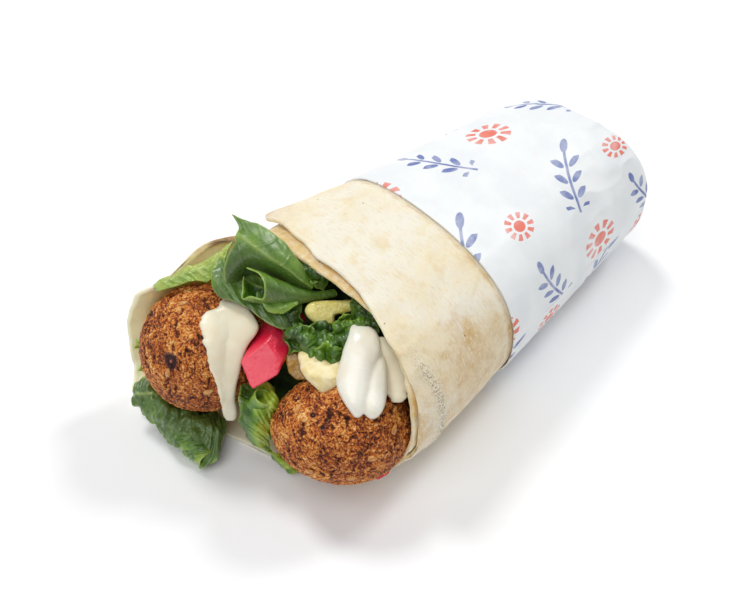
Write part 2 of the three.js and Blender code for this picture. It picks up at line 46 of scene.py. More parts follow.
MM = 0.001 * FALAFEL_ACROSS / FALAFEL_DRAWN

FRONT_Y, FRONT_HALF_WIDTH, FRONT_HALF_HEIGHT = -70, 48.3, 31.7
REAR_Y, REAR_HALF_WIDTH, REAR_HALF_HEIGHT = 80, 26.5, 25.3
SQUARENESS = 2.3
SINK = 0.8

BREAD_THICK = 1.6
OUTER_END = 150
SHEET_TURN = 540
LAYER_STEP = 1.94
STEP_FROM, STEP_TO = 285, 352
# [degrees turned from the outer edge, how far forward the rim is]
RIM = [
    [0, -36.4], [5, -38.4], [10, -38.8], [20, -39.2], [30, -40.4], [40, -41.3], [50, -43],
    [60, -42.8], [70, -43.2], [80, -44.8], [90, -46.7], [100, -47.7], [110, -48.3], [121, -48.8],
    [130, -50], [141, -51.2], [150, -51.6], [160, -51.8], [180, -54], [200, -61], [225, -72],
    [245, -79], [265, -86], [276, -90.5], [288, -95], [294, -92.5], [300, -90.5], [310, -88.5],
    [320, -87], [346, -81], [359, -72], [367, -59], [375, -48.5], [384, -46], [400, -45.6],
    [410, -45.8], [420, -45.6], [430, -44.8], [440, -43.7], [450, -45.5], [460, -47], [480, -49.4],
    [500, -52], [540, -55],
]
FLARE, FLARE_MIDDLE, FLARE_SPREAD, FLARE_LENGTH = 5, 367, 6, 9
CORNER_LIFT, CORNER_SPREAD, CORNER_LENGTH = 2.2, 18, 26
WALL_FLARE, WALL_LENGTH = 1.6, 4
LIP_DEPTH, LIP_WIDTH, LIP_MIDDLE, LIP_SPREAD = 1.8, 5, 25, 50
MM_PER_DEGREE = 0.7

PAPER_FRONT = -6.5
PAPER_THICK = 0.5
PAPER_GAP = 0.35
PAPER_LIFT = PAPER_THICK + PAPER_GAP
PAPER_END = 70
PAPER_END_SLANT = 7
PAPER_END_ROUND = 7
BREAD_SHORT = 11
LIFT_FROM, LIFT_TO = -18, -9
PAPER_GIRTH = 245
BODY_LENGTH, BEND_LENGTH, CAP_LENGTH = 72, 11, 28

FILL_REAR, FILL_FRONT, FILL_SLOPE, FILL_SLOPE_FROM, FILL_MIDDLE = 56, -60, 0.72, 16, 28

# The slanting open end: its middle, how far it is turned and how far it leans back.
MOUTH_CENTRE = (0, -70, 30)
MOUTH_TURN = 46.1
MOUTH_LEAN = 51.2

# The middle and radii of each ball: across, up and out of the open end.
BALL_LEFT = ((-21.6, 10.7, -11.8), (19.6, 19.6, 19.6))
BALL_RIGHT = ((21.1, -12.7, 0.5), (21, 16.7, 18.2))

CAMERA_TARGET = (-4.9, -22.6, 25)
CAMERA_DISTANCE = 414.1
CAMERA_LENS = 62.4

# [name, direction to it (right, up the picture, height), how far it spreads in degrees, strength]
LIGHTS = [
    ("key", (-0.4, 0.55, 1.05), 16, 1.2),
    ("window", (0.7, 0.6, 0.9), 12, 0.85),
    ("fill", (-0.32, -0.5, 1.15), 50, 1.15),
]
SKY_LIGHT = 0.25
FLOOR_HALF, FLOOR_CELLS, FLOOR_HEIGHT = 3000, 24, -0.05


# ---- numbers ----------------------------------------------------------------------
def mix(a, b, t):
    return a + (b - a) * t


def smooth(x, low, high):
    t = np.clip((x - low) / (high - low), 0, 1)
    return t * t * (3 - 2 * t)


def bell(x, width):
    """1 at zero, and next to nothing two widths away from it."""
    return np.exp(-((x / width) ** 2))


def signed_power(x, power):
    return np.sign(x) * np.abs(x) ** power


def unit(v):
    return v / np.maximum(np.linalg.norm(v, axis=-1, keepdims=True), 1e-9)


def turned(x, y, degrees):
    """A flat place as it is given in axes turned by some degrees."""
    cos, sin = math.cos(math.radians(degrees)), math.sin(math.radians(degrees))
    return x * cos + y * sin, y * cos - x * sin


def along(stations, at):
    """Smooth value between stations [place, value], at rising places."""
    x, y = np.array(stations, float).T
    k = np.clip(np.searchsorted(x, at) - 1, 0, len(x) - 2)
    before, after = np.maximum(k - 1, 0), np.minimum(k + 2, len(x) - 1)
    span = x[k + 1] - x[k]
    t = np.clip((at - x[k]) / span, 0, 1)
    slope_from = (y[k + 1] - y[before]) / (x[k + 1] - x[before]) * span
    slope_to = (y[after] - y[k]) / (x[after] - x[k]) * span
    t2, t3 = t * t, t * t * t
    return ((2 * t3 - 3 * t2 + 1) * y[k] + (t3 - 2 * t2 + t) * slope_from
            + (3 * t2 - 2 * t3) * y[k + 1] + (t3 - t2) * slope_to)


def hashed(i, j, k, seed):
    """A repeatable draw from 0 to 1 for each whole-number place."""
    h = (i * 73856093) ^ (j * 19349663) ^ (k * 83492791) ^ np.int64(seed * 2654435761)
    h = (h ^ (h >> 13)) * 1274126177 & 0x7FFFFFFF
    return ((h ^ (h >> 16)) & 0xFFFF) / 65535.0


def value_noise(p, seed=0):
    """Smooth noise from -1 to 1 with one wave per unit."""
    cell = np.floor(p).astype(np.int64)
    f = p - cell
    f = f * f * f * (f * (f * 6 - 15) + 10)
    total = 0
    for corner in range(8):
        step = np.array([corner & 1, corner >> 1 & 1, corner >> 2 & 1])
        weight = np.prod(np.where(step, f, 1 - f), axis=-1)
        at = cell + step
        total = total + weight * hashed(at[..., 0], at[..., 1], at[..., 2], seed)
    return total * 2 - 1


def waves(p, seed=0, octaves=3):
    """Several sizes of smooth noise together, from about -1 to 1."""
    total, weight, norm = 0, 1.0, 0.0
    for octave in range(octaves):
        total = total + weight * value_noise(p * 2.03 ** octave + 17.3 * octave, seed + octave)
        norm += weight
        weight *= 0.5
    return total / norm


def grains(p, seed=0):
    """Distance to the nearest of scattered points, one to a unit cell, and to the next nearest."""
    cell = np.floor(p).astype(np.int64)
    nearest = np.full(p.shape[:-1], 9.0)
    second = nearest.copy()
    for corner in range(27):
        at = cell + np.array([corner % 3 - 1, corner // 3 % 3 - 1, corner // 9 - 1])
        draw = [hashed(at[..., 0], at[..., 1], at[..., 2], seed + 31 * axis) for axis in range(3)]
        distance = np.linalg.norm(at + np.stack(draw, -1) - p, axis=-1)
        second = np.minimum(second, np.maximum(nearest, distance))
        nearest = np.minimum(nearest, distance)
    return nearest, second


def lumps(p, size, seed):
    x, y, z = np.moveaxis(p / size, -1, 0)
    total = (np.sin(x * 1.7 + y * 2.3 + seed) + np.sin(y * 2.1 - z * 1.9 + seed * 2)
             + np.sin(z * 2.4 + x * 1.3 + seed * 3))
    return total / 3


# ---- the slanting plane of the open end: across it, up its slope, and out of it ------
def mouth_basis():
    turn, lean = math.radians(MOUTH_TURN), math.radians(MOUTH_LEAN)
    across = np.array([math.cos(turn), math.sin(turn), 0])
    out = np.array([math.sin(turn) * math.cos(lean), -math.cos(turn) * math.cos(lean), math.sin(lean)])
    return np.array([across, np.cross(out, across), out])


MOUTH = mouth_basis()


def mouth_vector(place):
    return np.asarray(place, float) @ MOUTH


def mouth_point(place):
    return mouth_vector(place) + np.array(MOUTH_CENTRE)


def on_ball(ball, a, b):
    """How far out a ball's surface is, at a place across and up the open end."""
    centre, radii = ball
    reach = 1 - ((a - centre[0]) / radii[0]) ** 2 - ((b - centre[1]) / radii[1]) ** 2
    return centre[2] + radii[2] * np.sqrt(np.maximum(reach, 0))


# ---- meshes -------------------------------------------------------------------------
def outward(points, faces):
    """The faces, turned so that they enclose a positive volume."""
    a, b, c = (points[faces[:, k]] for k in range(3))
    volume = np.einsum("ij,ij->i", a, np.cross(b, c)).sum()
    if faces.shape[1] == 4:
        d = points[faces[:, 3]]
        volume += np.einsum("ij,ij->i", a, np.cross(c, d)).sum()
    return faces if volume > 0 else faces[:, ::-1]


def sheet_faces(columns, rows):
    """Quads of a sheet with a face each way and a wall round its edge."""
    size = (columns + 1) * (rows + 1)
    grid = np.arange(size).reshape(rows + 1, columns + 1)
    a, b, c, d = grid[:-1, :-1], grid[:-1, 1:], grid[1:, 1:], grid[1:, :-1]
    front = np.stack([a, b, c, d], -1).reshape(-1, 4)
    back = front[:, ::-1] + size
    edge = np.concatenate([grid[0, :], grid[1:, -1], grid[-1, -2::-1], grid[-2:0:-1, 0]])
    after = np.roll(edge, -1)
    wall = np.stack([after, edge, edge + size, after + size], -1)
    return np.concatenate([front, back, wall])


def sheet(columns, rows, point):
    """A thin sheet: point(u, v, side) for side 1 and -1. Also gives the side of each point."""
    u, v = np.meshgrid(np.linspace(0, 1, columns + 1), np.linspace(0, 1, rows + 1))
    sides = [point(u, v, side) for side in (1, -1)]
    points = np.concatenate([side.reshape(-1, 3) for side in sides])
    return points, outward(points, sheet_faces(columns, rows)), np.repeat([1.0, -1.0], u.size)


def loft_faces(rings, sides):
    """Quads between closed rings of points, one ring after another."""
    ring = np.arange(rings - 1)[:, None] * sides
    k = np.arange(sides)[None, :]
    after = (k + 1) % sides
    return np.stack([ring + k, ring + after, ring + sides + after, ring + sides + k], -1).reshape(-1, 4)


def new_object(name, points, faces, material, values=None):
    """A smooth mesh object, its points given in drawn millimetres."""
    mesh = bpy.data.meshes.new(name)
    mesh.from_pydata((np.asarray(points) * MM).tolist(), [], [list(f) for f in faces])
    mesh.update()
    for key, data in (values or {}).items():
        data = np.asarray(data, np.float32)
        if data.ndim == 1:
            mesh.attributes.new(key, "FLOAT", "POINT").data.foreach_set("value", data)
        else:
            mesh.attributes.new(key, "FLOAT_VECTOR", "POINT").data.foreach_set("vector", data.ravel())
    mesh.polygons.foreach_set("use_smooth", np.ones(len(mesh.polygons), bool))
    mesh.materials.append(material)
    thing = bpy.data.objects.new(name, mesh)
    bpy.context.scene.collection.objects.link(thing)
    return thing


def taken(mesh):
    """The points and faces of a bmesh, which is then freed."""
    mesh.verts.index_update()
    points = np.array([v.co[:] for v in mesh.verts])
    faces = np.array([[v.index for v in f.verts] for f in mesh.faces])
    mesh.free()
    return points, faces


def place(thing, slot, *nodes):
    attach(thing, "root")
    if nodes:
        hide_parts(*nodes)
    return thing


def applied(thing):
    """The object with its modifiers made part of its mesh."""
    graph = bpy.context.evaluated_depsgraph_get()
    mesh = bpy.data.meshes.new_from_object(thing.evaluated_get(graph))
    old = thing.data
    thing.modifiers.clear()
    thing.data = mesh
    bpy.data.meshes.remove(old)
    return thing


def points_of(thing):
    data = np.empty(len(thing.data.vertices) * 3)
    thing.data.vertices.foreach_get("co", data)
    return data.reshape(-1, 3) / MM


def normals_of(thing):
    data = np.empty(len(thing.data.vertices) * 3)
    thing.data.vertices.foreach_get("normal", data)
    return data.reshape(-1, 3)


def move_points(thing, points):
    thing.data.vertices.foreach_set("co", (points * MM).ravel())
    thing.data.update()


def melded(thing, voxel, smoothing):
    """Overlapping closed shapes made one skin, its grooves softened."""
    remesh = thing.modifiers.new("remesh", "REMESH")
    remesh.mode = "VOXEL"
    remesh.voxel_size = voxel * MM
    remesh.use_smooth_shade = True
    soften = thing.modifiers.new("soften", "SMOOTH")
    soften.factor = 0.5
    soften.iterations = smoothing
    return applied(thing)


def round_edge(distance, radius):
    """Share of a sheet's thickness left near its edge, so that the edge is rounded."""
    t = 1 - np.clip(distance / radius, 0, 1)
    return np.sqrt(np.maximum(1 - t * t, 0.0004))


# ---- materials ------------------------------------------------------------------------
class Paint:
    """A material whose nodes are added one by one. Sockets, numbers and screen colours go in alike."""

    def __init__(self, name, **settings):
        self.material = bpy.data.materials.new(name)
        self.material.use_nodes = True
        self.tree = self.material.node_tree
        self.shader = self.tree.nodes["Principled BSDF"]
        for key, value in settings.items():
            self.shader.inputs[key.replace("_", " ").title().replace("Ior", "IOR")].default_value = value
        coordinates = self.tree.nodes.new("ShaderNodeTexCoord")
        self.place = self.scaled(coordinates.outputs["Object"], 1 / MM)

    def set(self, socket, value):
        if isinstance(value, bpy.types.NodeSocket):
            self.tree.links.new(value, socket)
        elif socket.type == "RGBA":
            socket.default_value = srgb(*value)
        else:
            socket.default_value = value

    def scaled(self, vector, factor):
        node = self.tree.nodes.new("ShaderNodeVectorMath")
        node.operation = "MULTIPLY"
        factors = factor if isinstance(factor, tuple) else (factor,) * 3
        self.set(node.inputs[0], vector)
        node.inputs[1].default_value = factors
        return node.outputs[0]

    def math(self, operation, a, b=0.0, c=0.0, clamp=False):
        node = self.tree.nodes.new("ShaderNodeMath")
        node.operation = operation
        node.use_clamp = clamp
        for socket, value in zip(node.inputs, (a, b, c)):
            self.set(socket, value)
        return node.outputs[0]

    def times(self, a, b):
        return self.math("MULTIPLY", a, b, clamp=True)

    def varied(self, base, noise, amount):
        """The base, moved up or down by a noise that runs from 0 to 1."""
        return self.math("MULTIPLY_ADD", self.math("SUBTRACT", noise, 0.5), amount, base)

    def span(self, value, low, high, to_low=0.0, to_high=1.0):
        """A value from low to high turned into one between two others, softly at both ends."""
        node = self.tree.nodes.new("ShaderNodeMapRange")
        node.interpolation_type = "SMOOTHSTEP"
        for socket, number in zip(node.inputs, (value, low, high, to_low, to_high)):
            self.set(socket, number)
        return node.outputs[0]

    def attribute(self, name, vector=False):
        node = self.tree.nodes.new("ShaderNodeAttribute")
        node.attribute_name = name
        return node.outputs["Vector" if vector else "Fac"]

    def noise(self, size, detail=3.0, roughness=0.5, distortion=0.0, vector=None):
        """Noise from 0 to 1 whose waves are this many millimetres long."""
        node = self.tree.nodes.new("ShaderNodeTexNoise")
        self.set(node.inputs["Vector"], vector or self.place)
        node.inputs["Scale"].default_value = 1 / size
        node.inputs["Detail"].default_value = detail
        node.inputs["Roughness"].default_value = roughness
        node.inputs["Distortion"].default_value = distortion
        return node.outputs["Fac"]

    def grain(self, size, feature="F1", vector=None, output="Distance"):
        """Distance to the nearest of scattered points this many millimetres apart."""
        node = self.tree.nodes.new("ShaderNodeTexVoronoi")
        node.feature = feature
        self.set(node.inputs["Vector"], vector or self.place)
        node.inputs["Scale"].default_value = 1 / size
        return node.outputs[output]

    def blend(self, factor, a, b):
        node = self.tree.nodes.new("ShaderNodeMix")
        node.data_type = "RGBA"
        self.set(node.inputs[0], factor)
        self.set(node.inputs[6], a)
        self.set(node.inputs[7], b)
        return node.outputs[2]

    def ramp(self, value, *stops):
        node = self.tree.nodes.new("ShaderNodeValToRGB")
        band = node.color_ramp
        while len(band.elements) < len(stops):
            band.elements.new(0.5)
        for element, (at, colour) in zip(band.elements, stops):
            element.position = at
            element.color = srgb(*colour)
        self.set(node.inputs[0], value)
        return node.outputs[0]

    def bump(self, height, distance, strength=1.0):
        """Adds relief; the height runs from 0 to 1 and the distance is in millimetres."""
        node = self.tree.nodes.new("ShaderNodeBump")
        node.inputs["Strength"].default_value = strength
        node.inputs["Distance"].default_value = distance * MM
        self.set(node.inputs["Height"], height)
        if self.shader.inputs["Normal"].links:
            self.set(node.inputs["Normal"], self.shader.inputs["Normal"].links[0].from_socket)
        self.set(self.shader.inputs["Normal"], node.outputs["Normal"])

    def done(self, colour, roughness):
        self.set(self.shader.inputs["Base Color"], colour)
        self.set(self.shader.inputs["Roughness"], roughness)
        return self.material


def srgb(red, green, blue):
    """A colour given as on screen, from 0 to 255."""
    def linear(value):
        c = value / 255
        return c / 12.92 if c <= 0.04045 else ((c + 0.055) / 1.055) ** 2.4
    return (linear(red), linear(green), linear(blue), 1)


def bread_material():
    paint = Paint("flatbread", subsurface_weight=0.5, subsurface_scale=2.8 * MM,
                  subsurface_radius=(1.0, 0.8, 0.45), specular_ior_level=0.25)
    flour, skin = paint.attribute("flour"), paint.attribute("skin", vector=True)
    broad = paint.noise(22, 3, 0.55)
    patches = paint.noise(7, 4, 0.6, 0.3)
    mottle = paint.noise(2.2, 4, 0.65)
    grain = paint.noise(1, 3, 0.7, vector=paint.scaled(skin, (0.42, 1.3, 1)))
    speck = paint.noise(0.5, 3, 0.7)
    colour = paint.blend(paint.span(broad, 0.35, 0.68), (249, 239, 222), (246, 229, 197))
    colour = paint.blend(paint.span(patches, 0.5, 0.7, 0, 0.6), colour, (240, 220, 180))
    # Tan from toast, and along the sleeve's edge partly painted contact shadow.
    tan = paint.span(paint.varied(paint.attribute("toast"), patches, 1.0), 0.15, 0.9)
    tan = paint.times(tan, paint.span(grain, 0.3, 0.6, 0.45, 1.0))
    dust = paint.times(flour, paint.span(speck, 0.45, 0.62))
    white = paint.times(flour, paint.span(speck, 0.5, 0.38))
    dots = paint.span(paint.grain(9), 0.045, 0.02, 0, 0.7)
    # The inner face in paler cream: partly its own colour, partly painted light where the wall lies in
    # shade.
    inner = paint.times(paint.attribute("inner"), 0.8)
    baked = paint.times(paint.attribute("gold"), paint.span(mottle, 0.3, 0.6, 0.35, 1.0))
    char = paint.times(paint.attribute("char"), paint.span(patches, 0.3, 0.6))
    layers = [
        (tan, (212, 170, 104)),
        (paint.span(grain, 0.52, 0.7, 0, 0.4), (226, 198, 148)),
        (paint.span(grain, 0.42, 0.3, 0, 0.45), (252, 247, 238)),
        (dust, (150, 134, 112)),
        (white, (238, 232, 220)),
        (dots, (150, 96, 44)),
        (inner, (254, 232, 174)),
        # Painted light along the rim of the wall.
        (paint.attribute("pale"), (255, 246, 212)),
        (baked, (224, 188, 118)),
        (char, (104, 62, 28)),
    ]
    for share, over in layers:
        colour = paint.blend(share, colour, over)
    paint.bump(patches, 0.6, 0.6)
    paint.bump(grain, 0.22, 0.7)
    paint.bump(mottle, 0.2, 0.6)
    paint.bump(speck, 0.1, 0.8)
    return paint.done(colour, paint.span(mottle, 0.3, 0.7, 0.62, 0.85))


def falafel_material():
    paint = Paint("falafel_crust", specular_ior_level=0.4, coat_weight=0.1, coat_roughness=0.35)
    height, pit, wet = paint.attribute("height"), paint.attribute("pit"), paint.attribute("wet")
    tone = paint.noise(7, 3, 0.55)
    fine = paint.noise(0.7, 4, 0.8)
    crumb = paint.grain(0.8)
    draw = paint.tree.nodes.new("ShaderNodeSeparateColor")
    paint.set(draw.inputs[0], paint.grain(0.8, output="Color"))
    # The colour follows the crust's height: painted shade in its hollows and painted highlight on its
    # crumbs, varied by noise for the crust's own uneven browning.
    level = paint.varied(paint.varied(height, fine, 3.0), tone, 0.8)
    level = paint.varied(level, draw.outputs[0], 0.32)
    colour = paint.ramp(
        level, (0.0, (38, 10, 2)), (0.22, (108, 36, 4)), (0.42, (184, 82, 16)),
        (0.65, (230, 136, 46)), (0.88, (250, 184, 92)), (1.0, (254, 220, 150)))
    gold = paint.times(paint.span(draw.outputs[1], 0.84, 0.9), paint.span(crumb, 0.5, 0.25))
    colour = paint.blend(paint.times(gold, 0.65), colour, (248, 196, 120))
    # Painted shade in the pits.
    colour = paint.blend(paint.times(pit, 0.6), colour, (62, 20, 6))
    # The damp spots: darker in their grooves and lighter on their ridges, painted shade and painted
    # highlight over the spot's own purple-brown.
    damp = paint.blend(paint.span(height, 0.35, 0.6), (58, 14, 8), (186, 116, 96))
    colour = paint.blend(wet, colour, damp)
    paint.bump(fine, 0.6, 0.9)
    paint.bump(crumb, 0.25, 0.6)
    rough = paint.math("MULTIPLY_ADD", wet, -0.4, paint.span(fine, 0.3, 0.7, 0.48, 0.72))
    return paint.done(colour, rough)


def leaf_material():
    paint = Paint("leaf", specular_ior_level=0.2, coat_weight=1.0, coat_roughness=0.33, coat_ior=1.57,
                  subsurface_weight=0.1, subsurface_scale=0.8 * MM, subsurface_radius=(0.5, 1.0, 0.2))
    net = paint.grain(1.6, "DISTANCE_TO_EDGE", paint.attribute("web", vector=True))
    cloud = paint.noise(5, 3, 0.55)
    fine = paint.noise(0.8, 3, 0.6)
    # The tone holds each leaf's own green together with the shade and highlight painted across its folds and
    # pleats.
    level = paint.varied(paint.attribute("tone"), cloud, 0.7)
    colour = paint.ramp(
        level, (0.0, (20, 44, 4)), (0.25, (48, 88, 8)), (0.5, (96, 140, 18)),
        (0.75, (158, 186, 40)), (1.0, (212, 218, 108)))
    colour = paint.blend(paint.times(paint.span(net, 0.08, 0.0), 0.16), colour, (112, 150, 76))
    colour = paint.blend(paint.attribute("vein"), colour, (134, 168, 88))
    colour = paint.blend(paint.times(paint.attribute("midrib"), 0.6), colour, (178, 200, 104))
    colour = paint.blend(paint.attribute("edge"), colour, (168, 196, 84))
    colour = paint.blend(paint.times(paint.attribute("under"), 0.35), colour, (126, 160, 76))
    paint.bump(paint.noise(1.7, 3, 0.6, 0.4), 0.9, 0.6)
    paint.bump(net, 0.3, 0.6)
    paint.bump(fine, 0.3, 0.9)
    return paint.done(colour, paint.span(cloud, 0.3, 0.7, 0.34, 0.5))


def salad_material():
    paint = Paint("salad", specular_ior_level=0.15)
    cloud = paint.noise(5, 3, 0.6)
    # Dark green leaves, darkened further as painted shade for the deep inside of the wrap.
    colour = paint.blend(paint.span(cloud, 0.35, 0.65), (16, 28, 6), (40, 60, 16))
    paint.bump(cloud, 1.0, 0.8)
    return paint.done(colour, paint.span(cloud, 0.3, 0.7, 0.6, 0.8))


def sauce_material(name, pale, shaded, roughness):
    paint = Paint(name, subsurface_weight=0.35, subsurface_scale=2 * MM, subsurface_radius=(1.0, 0.75, 0.5),
                  coat_weight=0.35, coat_roughness=0.18)
    cloud = paint.noise(6, 2, 0.5)
    fine = paint.noise(0.8, 2, 0.5)
    colour = paint.blend(paint.span(cloud, 0.3, 0.7), pale, shaded)
    paint.bump(cloud, 0.5, 0.25)
    paint.bump(fine, 0.06, 0.4)
    return paint.done(colour, paint.span(cloud, 0.3, 0.7, roughness, roughness + 0.12))


def turnip_material():
    paint = Paint("pink_turnip", subsurface_weight=0.3, subsurface_scale=2 * MM,
                  subsurface_radius=(1.0, 0.3, 0.4), coat_weight=0.5, coat_roughness=0.12)
    cloud = paint.noise(4, 3, 0.6)
    fibre = paint.noise(0.7, 3, 0.6, 0.5)
    colour = paint.blend(paint.attribute("pale"), (228, 30, 68), (242, 54, 80))
    colour = paint.blend(paint.span(cloud, 0.45, 0.75, 0, 0.4), colour, (238, 74, 104))
    colour = paint.blend(paint.span(fibre, 0.64, 0.76, 0, 0.25), colour, (248, 150, 168))
    paint.bump(fibre, 0.14, 0.7)
    paint.bump(cloud, 0.3, 0.4)
    return paint.done(colour, paint.span(cloud, 0.3, 0.7, 0.22, 0.4))


def pickle_material(name, light, deep, speck_colour):
    paint = Paint(name, subsurface_weight=0.3, subsurface_scale=2 * MM, subsurface_radius=(1.0, 0.9, 0.3),
                  coat_weight=0.5, coat_roughness=0.15)
    cloud = paint.noise(5, 3, 0.55)
    seed = paint.grain(0.9)
    colour = paint.blend(paint.span(cloud, 0.35, 0.65), light, deep)
    colour = paint.blend(paint.span(seed, 0.45, 0.15, 0, 0.45), colour, speck_colour)
    paint.bump(seed, 0.2, 0.6)
    paint.bump(cloud, 0.4, 0.4)
    return paint.done(colour, paint.span(cloud, 0.3, 0.7, 0.25, 0.42))


def hummus_material():
    paint = Paint("hummus", subsurface_weight=0.25, subsurface_scale=2 * MM,
                  subsurface_radius=(1.0, 0.8, 0.4), specular_ior_level=0.4)
    cloud, fine = paint.noise(4, 3, 0.55), paint.noise(0.5, 3, 0.6)
    colour = paint.blend(paint.span(cloud, 0.35, 0.65), (248, 236, 194), (238, 218, 156))
    paint.bump(fine, 0.12, 0.7)
    paint.bump(cloud, 0.5, 0.4)
    return paint.done(colour, paint.span(fine, 0.3, 0.7, 0.4, 0.6))


def seed_material():
    paint = Paint("sesame_seed", subsurface_weight=0.2, subsurface_scale=1 * MM, coat_weight=0.3)
    cloud = paint.noise(1.2, 2, 0.5)
    colour = paint.blend(paint.span(cloud, 0.35, 0.65), (222, 168, 92), (190, 122, 56))
    paint.bump(cloud, 0.15, 0.5)
    return paint.done(colour, paint.span(cloud, 0.3, 0.7, 0.35, 0.5))


def floor_material():
    paint = Paint("floor", specular_ior_level=0.2)
    cloud = paint.noise(60, 2, 0.5)
    colour = paint.blend(paint.span(cloud, 0.3, 0.7), (252, 253, 255), (252, 253, 254))
    return paint.done(colour, paint.span(cloud, 0.3, 0.7, 0.7, 0.8))


# ---- the printed paper: sprigs in blue, suns in coral, in staggered rows ------------------
PRINT_SOFT = 0.12


class Field:
    """A number that changes over a surface, so that shapes can be written as sums."""

    def __init__(self, paint, socket):
        self.paint, self.socket = paint, socket

    def _do(self, operation, other=0.0, third=0.0):
        values = [x.socket if isinstance(x, Field) else float(x) for x in (other, third)]
        return Field(self.paint, self.paint.math(operation, self.socket, *values))

    __add__ = partialmethod(_do, "ADD")
    __sub__ = partialmethod(_do, "SUBTRACT")
    __mul__ = partialmethod(_do, "MULTIPLY")
    abs = partialmethod(_do, "ABSOLUTE")
    cos = partialmethod(_do, "COSINE")
    least = partialmethod(_do, "MINIMUM")
    most = partialmethod(_do, "MAXIMUM")
    atan2 = partialmethod(_do, "ARCTAN2")

    def wrap(self, width):
        """Repeats every width, from minus half of it to half of it."""
        return self._do("WRAP", width / 2, -width / 2)

    def length(self, other):
        return (self * self + other * other)._do("SQRT")

    def inside(self, ink):
        """The ink where the distance is below 0, fading over a soft edge."""
        return self.paint.times(self.paint.span(self.socket, PRINT_SOFT, -PRINT_SOFT), ink)


def sprig(x, y):
    """Distance to a stem with pairs of slanting leaves."""
    bent = y - x * x * 0.018
    stem = (bent.abs() - 0.32).most(x.abs() - 8.5)
    pair = x.wrap(4.2)
    leaf_x, leaf_y = turned(pair - 0.9, bent.abs() - 1.9, 40)
    leaves = ((leaf_x * 0.56).length(leaf_y * 1.35) - 1.05).most(x.abs() - 7.2)
    tip = ((x - 9.6) * 0.6).length(bent * 1.3) - 1.1
    return stem.least(leaves).least(tip)


def sun(x, y):
    """Distance to a disc inside a ring of rays."""
    radius = x.length(y)
    angle = y.atan2(x)
    rays = ((radius - 4.1).abs() - 1.15).most((angle * 5).cos().abs() * -1.6 + 1.05)
    return (radius - 2.1).least(rays)


def paper_material():
    paint = Paint("paper", subsurface_weight=0.08, subsurface_scale=1 * MM, specular_ior_level=0.4)
    split = paint.tree.nodes.new("ShaderNodeSeparateXYZ")
    paint.set(split.inputs[0], paint.attribute("flat", vector=True))
    round_way, long_way = (Field(paint, split.outputs[k]) for k in (0, 1))
    sprig_x, sprig_y = turned((round_way + 6).wrap(66), (long_way + 4).wrap(51), 28)
    other_x, other_y = turned((round_way + 39).wrap(66), (long_way + 30).wrap(51), -24)
    blue = sprig(sprig_x * 0.6, sprig_y * 0.6).least(sprig(other_x * 0.68, other_y * 0.68))
    sun_x, sun_y = (round_way + 38).wrap(66), (long_way + 5).wrap(51)
    small_x, small_y = (round_way + 7).wrap(66), (long_way + 31).wrap(51)
    coral = sun(sun_x * 0.68, sun_y * 0.68).least(sun(small_x * 0.95, small_y * 0.95))
    fade = paint.noise(7, 3, 0.6)
    fibre = paint.noise(0.4, 3, 0.6)
    cloud = paint.noise(14, 3, 0.5)
    base = paint.blend(paint.span(cloud, 0.35, 0.65), (246, 248, 249), (238, 241, 243))
    ink = paint.span(fade, 0.3, 0.65, 0.55, 0.95)
    ink = paint.times(ink, paint.math("MULTIPLY_ADD", paint.attribute("outside"), 0.8, 0.2))
    colour = paint.blend(blue.inside(ink), base, (92, 112, 178))
    colour = paint.blend(coral.inside(ink), colour, (236, 112, 88))
    paint.bump(fibre, 0.05, 0.5)
    paint.bump(cloud, 0.5, 0.3)
    return paint.done(colour, paint.span(cloud, 0.3, 0.7, 0.42, 0.55))


# ---- the roll ----------------------------------------------------------------------------
def roll_point(degrees, y, depth):
    """A point on the roll at an angle round it, a given depth inside its outer face."""
    t = (y - FRONT_Y) / (REAR_Y - FRONT_Y)
    half_width = mix(FRONT_HALF_WIDTH, REAR_HALF_WIDTH, t)
    half_height = mix(FRONT_HALF_HEIGHT, REAR_HALF_HEIGHT, t)
    angle = np.radians(degrees)
    x = (half_width - depth) * signed_power(np.cos(angle), 2 / SQUARENESS)
    z = half_height - SINK + (half_height - depth) * signed_power(np.sin(angle), 2 / SQUARENESS)
    floor = PAPER_LIFT * smooth(y, LIFT_FROM, LIFT_TO) + depth
    return np.stack(np.broadcast_arrays(x, y, np.maximum(z, floor)), -1)


def lip(degrees, y):
    rim = along(RIM, (OUTER_END - degrees) % 360)
    away = (degrees - LIP_MIDDLE + 180) % 360 - 180
    return LIP_DEPTH * bell(away, LIP_SPREAD) * bell(np.maximum(y - rim, 0), LIP_WIDTH)


def flare(turned_by, from_rim):
    """How far the sheet bends outward: where its layers part, all along the left wall, and at its corner."""
    step = FLARE * bell(turned_by - FLARE_MIDDLE, FLARE_SPREAD) * bell(from_rim, FLARE_LENGTH)
    wall = smooth(turned_by, 255, 290) * smooth(turned_by, 356, 340) * bell(from_rim, WALL_LENGTH)
    corner = CORNER_LIFT * bell(turned_by, CORNER_SPREAD) * bell(from_rim, CORNER_LENGTH)
    return step + WALL_FLARE * wall + corner


def sheet_depth(turned_by):
    return LAYER_STEP * smooth(turned_by, STEP_FROM, STEP_TO)


def paper_end(degrees):
    return PAPER_END + PAPER_END_SLANT * np.cos(np.radians(degrees))


def sway(degrees, y):
    """Slow swells of the whole roll, shared by bread and paper so that they keep their gap."""
    angle = np.radians(degrees)
    p = np.stack(np.broadcast_arrays(np.cos(angle) * 1.4, np.sin(angle) * 1.4, y / 26), -1)
    return 0.55 * waves(p, 5, 2)


BREAD_COLUMNS, BREAD_ROWS = 460, 110


def bread_rim(turned_by):
    """The rim's place, with small uneven bites."""
    p = np.stack([turned_by * MM_PER_DEGREE / 6, turned_by * 0, turned_by * 0], -1)
    return along(RIM, turned_by) + (0.5 + 0.5 * smooth(turned_by, 220, 300)) * waves(p, 11, 3) + 0.35


